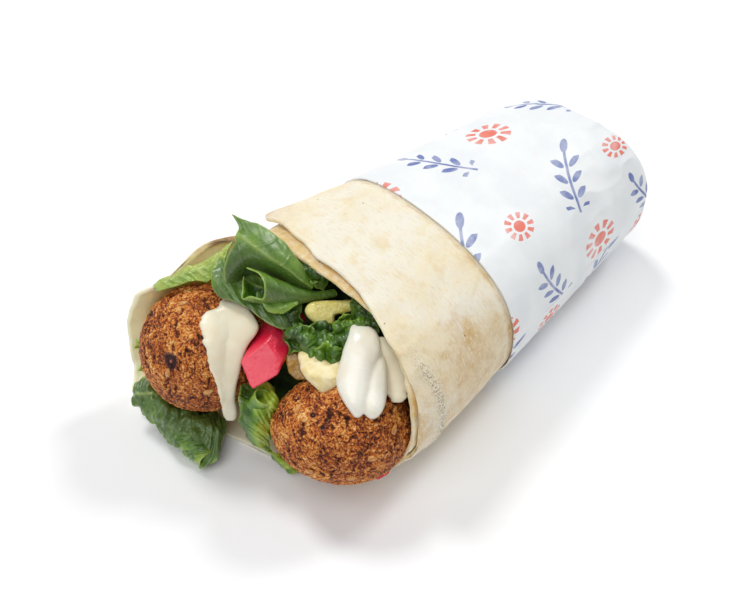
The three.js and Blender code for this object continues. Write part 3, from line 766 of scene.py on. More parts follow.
def flatbread():
    facts = {}

    def point(u, v, side):
        turned_by = SHEET_TURN * u
        degrees = OUTER_END - turned_by
        rim = bread_rim(turned_by)
        y = mix(rim, paper_end(degrees) - BREAD_SHORT, v ** 1.7)
        from_rim = y - rim
        facts[side] = (turned_by, y, from_rim)
        edge = np.minimum(from_rim, np.minimum(u, 1 - u) * SHEET_TURN * MM_PER_DEGREE)
        thick = BREAD_THICK / 2 * round_edge(edge, 0.8)
        skin = np.stack([turned_by * MM_PER_DEGREE, y, side + 0 * y], -1)
        puff = 0.28 * waves(skin / 7, 3, 3) * smooth(y, -2, -14)
        crease = 0.5 * bell(from_rim, 9) * waves(skin / np.array([5, 30, 5]), 8, 2)
        ridge = 0.55 * flour_line(turned_by, from_rim) * (side > 0)
        shared = lip(degrees, y) - flare(turned_by, from_rim) + sway(degrees, y)
        middle = sheet_depth(turned_by) + BREAD_THICK / 2 + shared
        spot = roll_point(degrees, y, middle - side * (thick + puff + ridge) + crease)
        spot[..., 2] = np.maximum(spot[..., 2], 0.05 + thick * (1 - side))
        return spot

    points, faces, side = sheet(BREAD_COLUMNS, BREAD_ROWS, point)
    turned_by, y, from_rim = (np.concatenate([a.ravel(), b.ravel()]) for a, b in zip(facts[1], facts[-1]))
    values = bread_marks(turned_by, y, from_rim, (side > 0) * 1.0)
    values["skin"] = np.stack([turned_by * MM_PER_DEGREE, y, 5 * side], -1)
    return place(new_object("flatbread_sheet", points, faces, BREAD, values), "flatbread", "flatbread")


def bread_marks(turned_by, y, from_rim, outer):
    """Where the sheet is toasted, singed, oily or floury; where painted light makes its wall paler near the
    rim; and a tan line by the sleeve's edge, partly painted contact shadow.
    """
    band = smooth(turned_by, 356, 368) * (0.35 + 0.65 * smooth(turned_by, 480, 430))
    edge_line = 0.15 * bell(from_rim, 0.9)
    # A tan line just in front of the sleeve's front edge: partly toast and oil, partly painted contact
    # shadow.
    border = bell(y - PAPER_FRONT + 1.1, 0.7) * outer * smooth(turned_by, 400, 380)
    corner = bell(turned_by, 16) * bell(from_rim, 8)
    inner_corner = bell(turned_by - 370, 5) * bell(from_rim - 1, 3)
    singed = bell(turned_by - 349, 4) * bell(from_rim - 21, 3.5) * (1 - outer)
    low = smooth(turned_by, 85, 160) * smooth(turned_by, 290, 240) * outer
    patch = bell(turned_by - 122, 30) * bell(y + 26, 13) * outer
    oil = bell(turned_by - 492, 8) * bell(from_rim - 2, 3)
    return {
        "toast": np.clip(0.06 + edge_line + 0.5 * border + 0.3 * low + 0.34 * patch, 0, 1),
        "char": np.clip(0.25 * corner + 0.7 * inner_corner + 0.9 * singed, 0, 1),
        # Painted light: the wall paler near its rim, as if lit through the thin bread.
        "pale": bell(from_rim, 6) * smooth(turned_by, 180, 215) * smooth(turned_by, 356, 340),
        "gold": np.clip(0.85 * band * smooth(from_rim, 14, 6) + 0.9 * oil, 0, 1) * outer,
        "flour": np.clip(flour_line(turned_by, from_rim) * outer + 0.16 * low, 0, 1),
        "inner": 1 - outer,
    }


def flour_line(turned_by, from_rim):
    """A dusty ridge that runs along behind the right side of the rim."""
    across = bell(from_rim - 6.5 - 2.5 * np.sin(turned_by * 0.05), 1.6)
    return across * smooth(turned_by, 95, 125) * smooth(turned_by, 215, 190)


# ---- the sleeve ----------------------------------------------------------------------------
PAPER_SIDES, BODY_STEPS, BEND_STEPS, CAP_STEPS = 420, 150, 15, 60
CAP_POLE_HEIGHT, CAP_REACH = 25, 0.985


def paper_creases(degrees, y):
    """Fine creases of the paper, more of them towards its closed end."""
    angle = np.radians(degrees)
    p = np.stack([np.cos(angle) * 32, np.sin(angle) * 26, y * 0.6], -1)
    p = p + 2 * np.stack([value_noise(p / 9, 23), value_noise(p / 9, 24), 0 * angle], -1)
    sharp = 1 - 2 * np.abs(value_noise(p / 12, 21))
    fine = 1 - 2 * np.abs(value_noise(p / 5, 22))
    amount = 0.16 + 0.5 * smooth(y, 15, 60)
    return amount * (0.7 * sharp + 0.3 * fine)


def paper_rings(depth, set_back):
    """Rings of one face of the sleeve from its front edge to the middle of its closed end."""
    degrees = -360 * np.arange(PAPER_SIDES) / PAPER_SIDES
    end = paper_end(degrees) - set_back
    places = [(mix(PAPER_FRONT, end - PAPER_END_ROUND, k / BODY_STEPS), 0) for k in range(BODY_STEPS + 1)]
    for turn in np.radians(np.linspace(6, 90, BEND_STEPS)):
        places.append((end - PAPER_END_ROUND * (1 - np.sin(turn)), PAPER_END_ROUND * (1 - np.cos(turn))))
    rings = []
    for y, inset in places:
        rings.append(roll_point(degrees, y, depth + inset + sway(degrees, y) - paper_creases(degrees, y)))
    last = rings[-1]
    pole = np.array([0, PAPER_END - set_back - 1, CAP_POLE_HEIGHT])
    for ring in rings:
        ring[:, 2] = np.maximum(ring[:, 2], PAPER_LIFT + depth + 0.02)
    for k in range(1, CAP_STEPS):
        share = k / (CAP_STEPS - 1)
        rings.append(mix(last, pole, CAP_REACH * share) + cap_folds(last, pole, share))
    return rings


def cap_folds(last, pole, share):
    """Folds of the closed end: the sides tucked in first, the top flap over the bottom one."""
    p = mix(last, pole, share)
    x, z = p[:, 0] - pole[0], p[:, 2] - pole[2]
    tuck = np.abs(x) - 0.9 * np.abs(z)
    dip = 1.6 * smooth(tuck, 0, 14)
    flap = 0.8 * smooth(z + 4 + 0.25 * np.abs(x), 0.0, 0.8)
    rise = (flap - dip) * smooth(share, 0, 0.15)
    return np.stack([0 * x, rise - 0.8, 0 * x], -1)


def ring_lengths():
    """How far each ring is from the sleeve's front edge, measured over the paper."""
    body = BODY_LENGTH * np.arange(BODY_STEPS + 1) / BODY_STEPS
    bend = BODY_LENGTH + BEND_LENGTH * np.arange(1, BEND_STEPS + 1) / BEND_STEPS
    cap = BODY_LENGTH + BEND_LENGTH + CAP_LENGTH * np.arange(1, CAP_STEPS) / (CAP_STEPS - 1)
    return np.concatenate([body, bend, cap])


def paper_wrap():
    outer = paper_rings(-PAPER_LIFT, 0)
    inner = paper_rings(-PAPER_GAP, PAPER_THICK)
    rings = outer[::-1] + inner
    points, faces = closed(np.array(rings))
    faces = [face[::-1] for face in faces]  # the rings run clockwise, so this turns the faces outward
    lengths = ring_lengths()
    round_way = np.tile(-PAPER_GIRTH * np.arange(PAPER_SIDES) / PAPER_SIDES, len(rings))
    long_way = np.repeat(np.concatenate([lengths[::-1], lengths]), PAPER_SIDES)
    flat = np.stack([round_way, long_way, 0 * long_way], -1)
    middle = [0, BODY_LENGTH + BEND_LENGTH + CAP_LENGTH - 1, 0]
    outside = np.repeat([1.0, 0.0], len(outer) * PAPER_SIDES)
    values = {"flat": np.concatenate([flat, [middle] * 2]), "outside": np.concatenate([outside, [1, 0]])}
    return place(new_object("paper_sleeve", points, faces, PAPER, values), "paper", "paper_wrap")


# ---- falafel -----------------------------------------------------------------------------
def icosphere(level):
    mesh = bmesh.new()
    bmesh.ops.create_icosphere(mesh, subdivisions=level, radius=1)
    points, faces = taken(mesh)
    return unit(points), outward(points, faces)


# Places damp from the sauce, as (across, up, size) on the left and the right ball.
WET_LEFT = [(-29.2, 7.2, 3.0)]
WET_RIGHT = [(13, -7.6, 1.1), (15.8, -11, 0.9)]


def falafel(name, ball, seed, wet_places):
    """A ball with a crust of crumbs, pits and cracks."""
    centre, radii = (np.array(x, float) for x in ball)
    p, faces = icosphere(7)
    skin = p * 20 + seed * 13.7
    swell = 1 + 0.02 * lumps(p, 0.6, seed) + 0.008 * lumps(p, 0.17, seed)
    crag = waves(skin / 5.5, seed, 3)
    bend = [waves(skin / 4, seed + 20, 2), waves(skin / 4, seed + 21, 2), np.zeros(len(p))]
    bent = skin + 1.5 * np.stack(bend, -1)
    coarse, coarse_next = grains(skin / 2.2, seed)
    small, _ = grains(skin / 0.9, seed + 5)
    grit = value_noise(skin / 0.5, seed + 3)
    hollow = waves(bent / np.array([1.3, 3, 2.4]), seed + 9, 3) + 0.12 * waves(skin / 9, seed + 12, 2)
    pit = smooth(hollow, 0.27, 0.5)
    crack = smooth(coarse_next - coarse, 0.12, 0.0) * smooth(waves(skin / 6, seed + 2, 2), -0.2, 0.3)
    rise = (0.45 * crag + 0.25 * (0.5 - coarse) + 0.42 * (0.45 - small) + 0.18 * grit - 0.6 * pit
            - 0.25 * crack + 0.12)
    wet = np.zeros(len(p))
    for a, b, size in wet_places:
        spot = np.array([a, b, on_ball(ball, a, b)])
        away = np.linalg.norm(centre + radii * p - spot, axis=1) / size
        away = away * (1 + 0.35 * waves(skin / 2, seed + 30, 2))
        wet = np.maximum(wet, smooth(away, 1.0, 0.8))
        knob = 0.4 * np.cos(away * 6.5) * smooth(away, 1, 0.5) - 0.1 + 0.12 * grit
        rise = mix(rise, knob, smooth(away, 1.15, 0.9))
    place_at = centre + (radii * swell[:, None] + rise[:, None]) * p
    height = np.clip(0.5 + (rise - 0.1) * 0.55, 0, 1)
    values = {"height": height, "pit": pit * (1 - wet), "wet": wet}
    return new_object(name, mouth_point(place_at), faces, FALAFEL, values)


# Where the sesame seeds lie on each ball, as (across, up, turn in degrees).
SEEDS_LEFT = [(-18.5, -1.6, 20), (-15.6, 1.6, -40), (-30, 4, 70), (-26, 24, 10)]
SEEDS_RIGHT = [(36, -12, 60), (12, -24, 30), (30, -20, -20), (9, -6, 80), (24, -26, 10)]


def sesame_seeds():
    p, faces = icosphere(3)
    points, all_faces = [], []
    for ball, spots in ((BALL_LEFT, SEEDS_LEFT), (BALL_RIGHT, SEEDS_RIGHT)):
        centre, radii = (np.array(x, float) for x in ball)
        for a, b, turn in spots:
            spot = np.array([a, b, on_ball(ball, a, b)])
            normal = unit((spot - centre) / radii ** 2)
            toward = [math.cos(math.radians(turn)), math.sin(math.radians(turn)), 0.1]
            side = unit(np.cross(normal, toward))
            lengthwise = np.cross(side, normal)
            drop = 1 - 0.35 * p[:, 0]
            local = (p[:, :1] * 1.55 * lengthwise + p[:, 1:2] * drop[:, None] * 0.85 * side
                     + p[:, 2:] * 0.5 * normal)
            all_faces.append(faces + len(p) * len(points))
            points.append(mouth_point(spot + 0.45 * normal + local))
    thing = new_object("sesame_seeds", np.concatenate(points), np.concatenate(all_faces), SEED)
    return place(thing, "falafel_crust")


# ---- sauce ----------------------------------------------------------------------------------
def sauce_points(rows, base, steps=120, sides=40, squareness=0.9, ragged=0.0, seed=0):
    """A run of sauce. Rows go down it: [up, left edge, right edge, out, thickness]."""
    table = np.array(rows, float)
    t = np.linspace(0, 1, steps + 1)
    at = np.linspace(0, 1, len(table))
    up, left, right, out, thick = (along(np.stack([at, column], -1), t) for column in table.T)
    wobble = np.stack([t * 55, t * 0, t * 0], -1)
    left = left - ragged * waves(wobble, seed, 2) * smooth(t, 0.1, 0.25) * smooth(t, 1.0, 0.7)
    middle, half = (left + right) / 2, (right - left) / 2
    angle = 2 * np.pi * np.arange(sides) / sides
    across = signed_power(np.cos(angle), squareness)[None, :] * half[:, None] + middle[:, None]
    high = np.broadcast_to(up[:, None], across.shape)
    rise = np.where(np.sin(angle) > 0, 1.0, 0.8) * signed_power(np.sin(angle), squareness)
    rest = base(across, high, out[:, None])
    return np.stack([across, high, rest + rise[None, :] * thick[:, None]], -1)


def closed(rings):
    """A skin through rings, with the ends drawn to a point."""
    steps, sides = rings.shape[:2]
    points = np.concatenate([rings.reshape(-1, 3), [rings[0].mean(0), rings[-1].mean(0)]])
    faces = loft_faces(steps, sides).tolist()
    start, end = len(points) - 2, len(points) - 1
    for k in range(sides):
        after = (k + 1) % sides
        faces.append([start, after, k])
        faces.append([end, (steps - 1) * sides + k, (steps - 1) * sides + after])
    return points, faces


def joined(shapes):
    points, faces = [], []
    for shape_points, shape_faces in shapes:
        offset = sum(len(p) for p in points)
        faces += [[k + offset for k in face] for face in shape_faces]
        points.append(shape_points)
    return np.concatenate(points), faces


# [up, left edge, right edge, out, thickness]
SAUCE_LEFT = [
    [25.6, -14.2, -10.0, 2.4, 0.5], [24.7, -15.2, -7.8, 3.4, 1.5], [23.0, -15.8, -6.4, 4.4, 1.7],
    [21.8, -18.8, -5.8, 5.0, 1.7], [19.8, -20.2, -4.4, 5.8, 1.7], [17.4, -20.4, -3.4, 6.5, 1.7],
    [15, -19.8, -4.2, 6.9, 1.7], [12, -19.2, -6.4, 7.3, 1.7], [8, -18.2, -8.0, 7.2, 1.6],
    [4, -17.2, -9.0, 6.4, 1.6], [0, -16.2, -10.2, 4.4, 1.6], [-4, -15.7, -11.0, 0.2, 1.7],
    [-7, -15.6, -11.0, -3.6, 1.8], [-9.8, -15.5, -11.2, -7.0, 1.8], [-11.6, -14.6, -12.2, -8.4, 0.8],
]
SAUCE_RIGHT = [
    [[18.4, 24.2, 26.8, 10, 0.6], [17.2, 23.4, 30.2, 10.8, 1.8], [14.8, 22.9, 32, 12.2, 2.6],
     [11.4, 21.6, 32.6, 13.2, 3.2], [8.8, 21, 32.2, 13.6, 3.5], [5.4, 20, 31, 14.2, 3.8],
     [1.9, 19.5, 30, 15, 3.9], [-1.5, 20.4, 29, 16.2, 3.6], [-4.6, 22.2, 28.2, 17.2, 2.9],
     [-7.4, 24.2, 27.2, 17.6, 1.8], [-8.4, 25, 26.4, 17.6, 0.7]],
    [[10, 29.4, 33, 12.4, 1.4], [6.5, 28.6, 34.2, 13.2, 2.6], [2.5, 27.6, 34.4, 14.2, 3.1],
     [-2.1, 27, 34.2, 15.4, 3.1], [-5.2, 27, 33.6, 16.2, 2.8], [-7.4, 27.8, 32.4, 16.6, 2.1],
     [-8.8, 29, 31, 16.6, 0.9]],
    [[14.6, 30, 34.4, 11.6, 0.8], [11, 29.6, 36.8, 11.6, 1.2], [8, 29.6, 39, 11.4, 1.3],
     [5, 29.6, 40.8, 11.2, 1.3], [2, 30, 41.2, 11.2, 1.3], [0, 30.6, 41.4, 11.4, 1.2],
     [-1.6, 33, 40, 11.6, 1.1], [-2.6, 34.6, 40.4, 11.8, 1], [-4.4, 35.6, 38.6, 12, 0.6]],
]


def over_left_ball(across, high, out):
    ball = on_ball(BALL_LEFT, across, high)
    (middle_across, middle_up, _), (half, _, _) = BALL_LEFT
    inside = np.hypot(across - middle_across, high - middle_up) < 0.99 * half
    return np.maximum(np.where(inside, ball, out - 3), out - 1.6)


def flat_base(across, high, out):
    return out + 0 * across


def sauce_left():
    run = sauce_points(SAUCE_LEFT, over_left_ball, squareness=0.6, ragged=0.7, seed=4)
    thing = melded(new_object("sauce_left_run", *closed(mouth_point(run)), SESAME_SAUCE), 0.28, 3)
    return place(thing, "sesame_sauce", "sauce_left")


def sauce_right():
    runs = [closed(mouth_point(sauce_points(rows, flat_base, 60, 32))) for rows in SAUCE_RIGHT]
    smear = melded(new_object("sauce_right_smear", *runs[2], SESAME_SAUCE), 0.35, 4)
    place(smear, "sesame_sauce", "sauce_right")
    thing = melded(new_object("sauce_right_run", *joined(runs[:2]), WHITE_SAUCE), 0.35, 22)
    return place(thing, "white_sauce", "sauce_right")


# ---- pickles, turnip and hummus -------------------------------------------------------------
# Outlines of the pieces as (across, up), and how far the back of each is from its front.
TURNIP_FACE = [(-8.6, 7.2), (-0.8, 13.2), (3.6, 7), (2.4, 3.2), (-4.8, -0.9), (-5.8, 0.2)]
TURNIP_BACK = (6.6, 13, -12)
SLICE_FACE = [
    (4.2, 10.4), (7, 9.6), (9.2, 8.6), (9.6, 4.6), (10.8, 1.6), (7.6, 1.4), (5.2, 3.4), (4.4, 7),
]
SLICE_BACK = (3, 5, -6)
SLIVER_FACE = [(28.5, -27.3), (34.5, -23.5), (35, -27), (31.5, -29)]
SLIVER_BACK = (1.5, 3, -5)


def cut_piece(name, outline, front, back, material, roundness, bumps, seed):
    """A flat-faced piece with softened edges and slightly uneven faces."""
    mesh = bmesh.new()
    back = np.array(back, float)
    rings = []
    for shift in (np.zeros(3), back):
        rings.append([mesh.verts.new(mouth_point(np.array([x, y, front]) + shift) * MM) for x, y in outline])
    mesh.faces.new(rings[0])
    mesh.faces.new(rings[1][::-1])
    for k in range(len(outline)):
        after = (k + 1) % len(outline)
        mesh.faces.new([rings[0][k], rings[1][k], rings[1][after], rings[0][after]])
    bmesh.ops.recalc_face_normals(mesh, faces=mesh.faces)
    bmesh.ops.bevel(mesh, geom=mesh.edges[:], offset=roundness * MM, segments=3, profile=0.6, affect="EDGES")
    bmesh.ops.triangulate(mesh, faces=mesh.faces)
    points, faces = taken(mesh)
    thing = melded(new_object(name, points / MM, faces, material), 0.22, 4)
    depth = (points_of(thing) - mouth_point([*outline[0], front])) @ unit(mouth_vector(back))
    pale = np.clip(1 - depth / 9, 0, 1).astype(np.float32)
    thing.data.attributes.new("pale", "FLOAT", "POINT").data.foreach_set("value", pale)
    return bumpy(thing, bumps, 2.6, seed)


def bumpy(thing, height, size, seed):
    """The object with bumps of a height and size in millimetres."""
    points = points_of(thing)
    move_points(thing, points + normals_of(thing) * (height * waves(points / size, seed, 3))[:, None])
    return thing


def slab(name, outline, rest, thick, squareness, bumps, seed, material):
    """A thick dab, its outline given as [across, up], lying at a height that rest(across, up) gives."""
    around = np.linspace(0, len(outline), 161)[:-1]
    k, f = around.astype(int), (around % 1)[:, None]
    ring = np.array(outline, float)
    before, here, after, next_on = (ring[(k + shift) % len(ring)] for shift in (-1, 0, 1, 2))
    edge = 0.5 * (2 * here + (after - before) * f + (2 * before - 5 * here + 4 * after - next_on) * f**2
                  + (3 * here - before - 3 * after + next_on) * f**3)
    middle = edge.mean(0)
    rings = []
    for turn in np.linspace(-88, 88, 41):
        share = abs(math.cos(math.radians(turn))) ** squareness
        spot = middle + (edge - middle) * share
        height = thick * signed_power(np.float64(math.sin(math.radians(turn))), squareness)
        rings.append(np.stack([*spot.T, rest(*spot.T) + height], -1))
    shape = closed(mouth_point(np.array(rings)))
    return bumpy(melded(new_object(name, *shape, material), 0.3, 6), bumps, 3, seed)


WEDGE_FACE = [
    (10.2, 22.6), (11.6, 24.4), (15, 25), (21, 25.2), (26, 25.2), (26.6, 23.6), (24.2, 22),
    (21.8, 21.2), (19.2, 20.8), (18.8, 18), (17.4, 16.4), (15, 17.2), (12.2, 19), (10.5, 20.8),
]
HUMMUS_FACE = [
    (8.4, 9.2), (9.4, 10.4), (12.2, 10), (15.4, 9), (18, 7), (21, 8), (21.4, 4), (20, 0.6),
    (18, -1), (16.2, -1.8), (13.8, -0.6), (12, 1.2), (10.2, 3.6), (9, 6),
]


def wedge_rest(across, up):
    return 4.4 - 0.12 * (across - 12) + 0.05 * (up - 20)


def hummus_rest(across, up):
    return 11.6 - 0.5 * np.maximum(up - 3, 0) + 0.12 * (across - 14)


def pickles():
    stick = cut_piece("turnip_cut", TURNIP_FACE, 9, TURNIP_BACK, TURNIP, 0.35, 0.08, 2)
    place(stick, "pink_turnip", "turnip_stick")
    sliver = cut_piece("turnip_bit", SLIVER_FACE, -2, SLIVER_BACK, TURNIP, 0.5, 0.1, 3)
    place(sliver, "pink_turnip", "turnip_sliver")
    slice_cut = cut_piece("pickle_cut", SLICE_FACE, 5.5, SLICE_BACK, SLICE, 0.6, 0.2, 5)
    place(slice_cut, "olive_pickle", "pickle_slice")
    wedge = slab("pickle_piece", WEDGE_FACE, wedge_rest, 3.6, 0.45, 0.15, 2, WEDGE)
    place(wedge, "yellow_pickle", "pickle_wedge")


def hummus():
    dab = slab("hummus_dab", HUMMUS_FACE, hummus_rest, 3.2, 0.7, 0.5, 3, HUMMUS)
    place(dab, "hummus", "hummus")


# ---- leaves ------------------------------------------------------------------------------------
LEAF_THICK = 0.5


def weights(count, t):
    """How much each of a row of control points counts for a smooth curve through them."""
    at = t * (count - 1)
    k = np.clip(at.astype(int), 0, count - 2)
    f = at - k
    shares = [-f + 2 * f**2 - f**3, 2 - 5 * f**2 + 3 * f**3, f + 4 * f**2 - 3 * f**3, f**3 - f**2]
    table = np.zeros((len(t), count + 2))
    for n in range(4):
        np.add.at(table, (np.arange(len(t)), k + n), shares[n] / 2)
    table[:, 1] += 2 * table[:, 0]
    table[:, 2] -= table[:, 0]
    table[:, -2] += 2 * table[:, -1]
    table[:, -3] -= table[:, -1]
    return table[:, 1:-1]


def over_leaf(base, rib_row):
    """Distances over a leaf from its margin and from its midrib, and a flat map of it."""
    step_u = np.linalg.norm(np.diff(base, axis=1), axis=2)
    step_v = np.linalg.norm(np.diff(base, axis=0), axis=2)
    long_way = np.pad(np.cumsum(step_u, axis=1), ((0, 0), (1, 0)))
    cross_way = np.pad(np.cumsum(step_v, axis=0), ((1, 0), (0, 0)))
    from_edge = np.minimum(np.minimum(long_way, long_way[:, -1:] - long_way),
                           np.minimum(cross_way, cross_way[-1:] - cross_way))
    from_rib = cross_way - cross_way[rib_row]
    skin = np.stack([np.broadcast_to(long_way.mean(0), from_rib.shape), from_rib, 0 * from_rib], -1)
    return from_edge, from_rib, skin


def along_stem(flat, stem):
    """How much of a thickening stem shows at each place of a leaf, from 0 to 1."""
    start, end = (np.array(x, float) for x in stem)
    share = np.clip((flat[..., :2] - start) @ (end - start) / ((end - start) @ (end - start)), 0, 1)
    away = np.linalg.norm(flat[..., :2] - start - share[..., None] * (end - start), axis=-1)
    return bell(away, 0.35 + 0.35 * share)


def leaf(name, net, tone, rib=0, veins=4.0, slope=0.8, ruffle=0.3, crinkle=0.15, quilt=0.2, streak=0.0,
         crinkle_size=2.4, cells=(130, 90), vein_tone=0.5, edge_tone=0.75, stem=None):
    """A leaf through a net of points, rows along it and points across, with veins and a frilled margin.

    rib is where the midrib lies across it, 0 for none. A list of tones runs across the leaf: its own lighter
    and darker greens together with painted shade and painted highlight over its folds. The pleat setting
    also paints a highlight on the pleats' crests and shade in their grooves."""
    columns, rows = cells
    u, v = np.linspace(0, 1, columns + 1), np.linspace(0, 1, rows + 1)
    net = np.array(net, float)
    flat = np.einsum("ai,bj,ijk->bak", weights(len(net), u), weights(net.shape[1], v), net)
    base = mouth_point(flat)
    from_edge, from_rib, skin = over_leaf(base, int(rib * rows))
    normal = unit(np.cross(np.gradient(base, axis=1), np.gradient(base, axis=0)))
    near_edge = bell(from_edge, 2.5)
    seed = len(name)
    bend = skin[..., 0] - slope * np.abs(from_rib) + 0.8 * waves(skin / 6, seed, 2)
    from_vein = np.abs(bend / veins - np.round(bend / veins)) * veins
    vein = bell(from_vein, 0.25) * smooth(from_edge, 0.2, 1.5)
    midrib = bell(from_rib, 0.9 * (1.2 - u)) if rib else 0 * from_rib
    if stem:
        midrib = np.maximum(midrib, along_stem(flat, stem))
    pleat = 1 - 2 * np.abs(waves(np.stack([bend / 1.7, from_rib / 7, 0 * bend], -1), seed + 13, 2))
    relief = (ruffle * near_edge * waves(skin / 3.4, seed + 7, 2)
              + crinkle * waves(skin / crinkle_size, seed + 5, 3)
              + quilt * smooth(from_vein, 0, veins / 2) + streak * pleat - 0.12 * vein - 0.25 * midrib)
    inward = unit(base.mean((0, 1)) - base) * (near_edge * 0.5 * waves(skin / 2.8, seed + 11, 2))[..., None]
    thick = LEAF_THICK / 2 * round_edge(from_edge, 0.3)
    sides = [base + inward + normal * (relief + side * thick)[..., None] for side in (1, -1)]
    points = np.concatenate([side.reshape(-1, 3) for side in sides])
    points[:, 2] = np.maximum(points[:, 2], 0.4)
    edge = bell(from_edge, 0.5)
    tones = weights(len(tone), v) @ np.array(tone, float) if isinstance(tone, list) else tone + 0 * v
    # The tone: the list across the leaf, lighter at the margin, with a painted highlight on the pleats'
    # crests and painted shade in their grooves.
    shade = tones[:, None] + 0.12 * smooth(from_edge, 3, 0.3) + 0.35 * streak * (pleat - 0.5)
    values = {"vein": np.tile(vein.ravel() * vein_tone, 2), "midrib": np.tile(midrib.ravel(), 2),
              "edge": np.tile(edge.ravel() * edge_tone, 2), "web": np.tile(skin.reshape(-1, 3), (2, 1)),
              "tone": np.tile(shade.ravel(), 2), "under": np.repeat([0.0, 1.0], from_rib.size)}
    faces = outward(points, sheet_faces(columns, rows))
    return new_object(name + "_green", points, faces, LEAF, values)


def green(node, net, tone, part="", slot="leaf", **looks):
    """A leaf, or a further part of one, that stands for a node of the register."""
    return place(leaf(node + part, net, tone, **looks), slot, node)


# Each net: rows along the leaf, points across it, as [across, up, out] of the open end.
LEAF_FOLD = [
    [(-11.2, 50.4, 6.8), (-9.1, 46.6, 8), (-10.4, 41.6, 9.5), (-12.6, 36.8, 9.5), (-13.4, 30.8, 7),
     (-11.4, 28.8, 4.5)],
    [(-8.2, 49, 8.6), (-6.6, 44.8, 10.2), (-7.6, 40.8, 10.8), (-9.4, 36.2, 9.4), (-10.4, 32, 6),
     (-8.8, 29.9, 2.5)],
    [(-3.6, 47.4, 8.1), (-2.9, 42.2, 10.6), (-4, 38.4, 10.4), (-5.2, 35.8, 7.6), (-6.3, 33.8, 4),
     (-7, 32, 0)],
    [(1, 44.9, 7.6), (1.3, 38.9, 10.6), (0, 35.9, 9.8), (-1.1, 33.8, 6.6), (-2, 32.4, 2),
     (-2.9, 31, -2)],
    [(5.4, 40.9, 7), (5.5, 35.9, 9.6), (4.6, 33.5, 8.4), (3.6, 31.9, 5.4), (2.7, 30.8, 1.4),
     (1.8, 29.8, -2.5)],
    [(9.3, 35.6, 6.2), (9.3, 32.3, 8), (8.4, 30.7, 6.8), (7.5, 29.6, 4.4), (6.7, 28.8, 1),
     (5.9, 28.2, -3)],
    [(12.7, 30.6, 3.6), (12.7, 29.2, 4.4), (12.4, 28.4, 4), (12.1, 27.9, 2.6), (11.8, 27.5, 0.4),
     (11.5, 27.2, -2)],
]
LEAF_ROLL = [
    [(-6.6, 34.6, 10), (-3, 33.2, 13.5), (-1.2, 30.4, 15), (-0.9, 27.8, 14.6), (-2, 25.4, 13),
     (-5.4, 26.2, 11), (-7.9, 25.6, 9), (-8, 29, 7), (-7.6, 32.2, 7)],
    [(-3.4, 33.8, 7.5), (-0.6, 32.2, 12.2), (1, 29.6, 13.6), (1.4, 27, 13), (0.4, 24.8, 11.5),
     (-2, 24.6, 9), (-4, 24.6, 7), (-4.6, 27, 5), (-4.6, 30, 5)],
    [(1.6, 31.6, 5.5), (3.2, 30.4, 9.8), (4.6, 28.2, 11.4), (5, 26, 10.8), (4.2, 24.4, 9.4),
     (2.6, 24, 7.6), (1, 24, 6), (0, 25.6, 4), (0, 28.6, 4)],
    [(7.4, 29.4, 3), (8.4, 28.5, 6.6), (9.2, 27, 8), (9.5, 25.6, 7.6), (9, 24.5, 6.6), (8, 24.2, 5.4),
     (7, 24.2, 4.4), (6.2, 25.2, 3), (6.2, 27.4, 2.6)],
    [(13, 27.8, 1.6), (13.5, 27.4, 3.6), (14, 26.7, 4.4), (14.2, 26, 4.2), (13.9, 25.4, 3.6),
     (13.4, 25.2, 3), (12.9, 25.2, 2.4), (12.5, 25.7, 1.6), (12.5, 26.8, 1.4)],
    [(19, 28.4, 0.4), (19.3, 28, 1.2), (19.6, 27.5, 1.6), (19.7, 27, 1.6), (19.5, 26.6, 1.4),
     (19.2, 26.5, 1), (18.9, 26.5, 0.8), (18.7, 26.8, 0.4), (18.7, 27.7, 0.2)],
]
LEAF_LOBE = [
    [(-15.5, 38, 2), (-17.2, 34.5, 4.2), (-17.4, 31, 5.2), (-16.4, 28, 5.2), (-14.6, 25.6, 5)],
    [(-12, 37, 1), (-13.6, 33, 5), (-14, 29, 6.6), (-13, 26.4, 6.8), (-11.6, 24.8, 6.6)],
    [(-7, 34, 1), (-8, 30, 4), (-8.6, 27, 5.6), (-8.6, 24.8, 6.8), (-7.6, 23.4, 7)],
    [(-2, 31, 2), (-2.6, 28, 4), (-3.6, 25.4, 5.6), (-4, 22.6, 7), (-3.4, 20.4, 7.4)],
    [(2, 29.5, 2), (1.6, 27, 4), (0.6, 24, 6), (0, 20.4, 7.4), (1, 17.6, 7.6)],
    [(6, 28, 2), (5.6, 25.4, 4), (5, 22.6, 5.6), (4.6, 19.4, 6.8), (5, 16.6, 7)],
    [(9.5, 27, 1), (9.4, 25, 2.6), (9, 22.6, 4), (8.6, 20, 5), (8.2, 18, 5.4)],
]
LEAF_FLAP = [
    [(-2.2, 25.4, 10), (-1.6, 23.6, 10.6), (-0.4, 21.8, 10.6)],
    [(0.4, 25, 10), (0.8, 23, 10.8), (1.6, 21.2, 10.6)],
    [(3, 24.8, 9.6), (3.4, 23, 10.4), (4, 21.5, 10.2)],
    [(6, 24.8, 8.8), (6.2, 23.8, 9.6), (6.6, 22.9, 9.6)],
    [(8.6, 24.8, 7.6), (8.6, 24.4, 8), (8.6, 23.9, 8)],
]
LEAF_STRIP = [
    [(-36.7, 29.8, -6), (-36.2, 28.8, -5.6), (-35.7, 27.7, -5.4)],
    [(-33.4, 31.8, -5.6), (-33.2, 30.2, -4.6), (-33.2, 28.2, -4)],
    [(-29.2, 33.5, -4.8), (-29, 31.6, -3.6), (-29, 29.1, -3)],
    [(-25.7, 35.6, -4), (-25.6, 33, -2.8), (-25.5, 30.4, -2.4)],
    [(-22.4, 36.4, -3), (-22, 33.8, -1.8), (-22, 31, -1.4)],
    [(-18.6, 38, -2), (-18.6, 34.6, -0.6), (-19.4, 30.6, -0.4)],
    [(-15.3, 40.2, -1), (-15.6, 37, 0.8), (-16.6, 32.8, 1.4)],
    [(-11.8, 43, 0), (-12.6, 39.6, 2), (-14, 35.6, 3)],
]
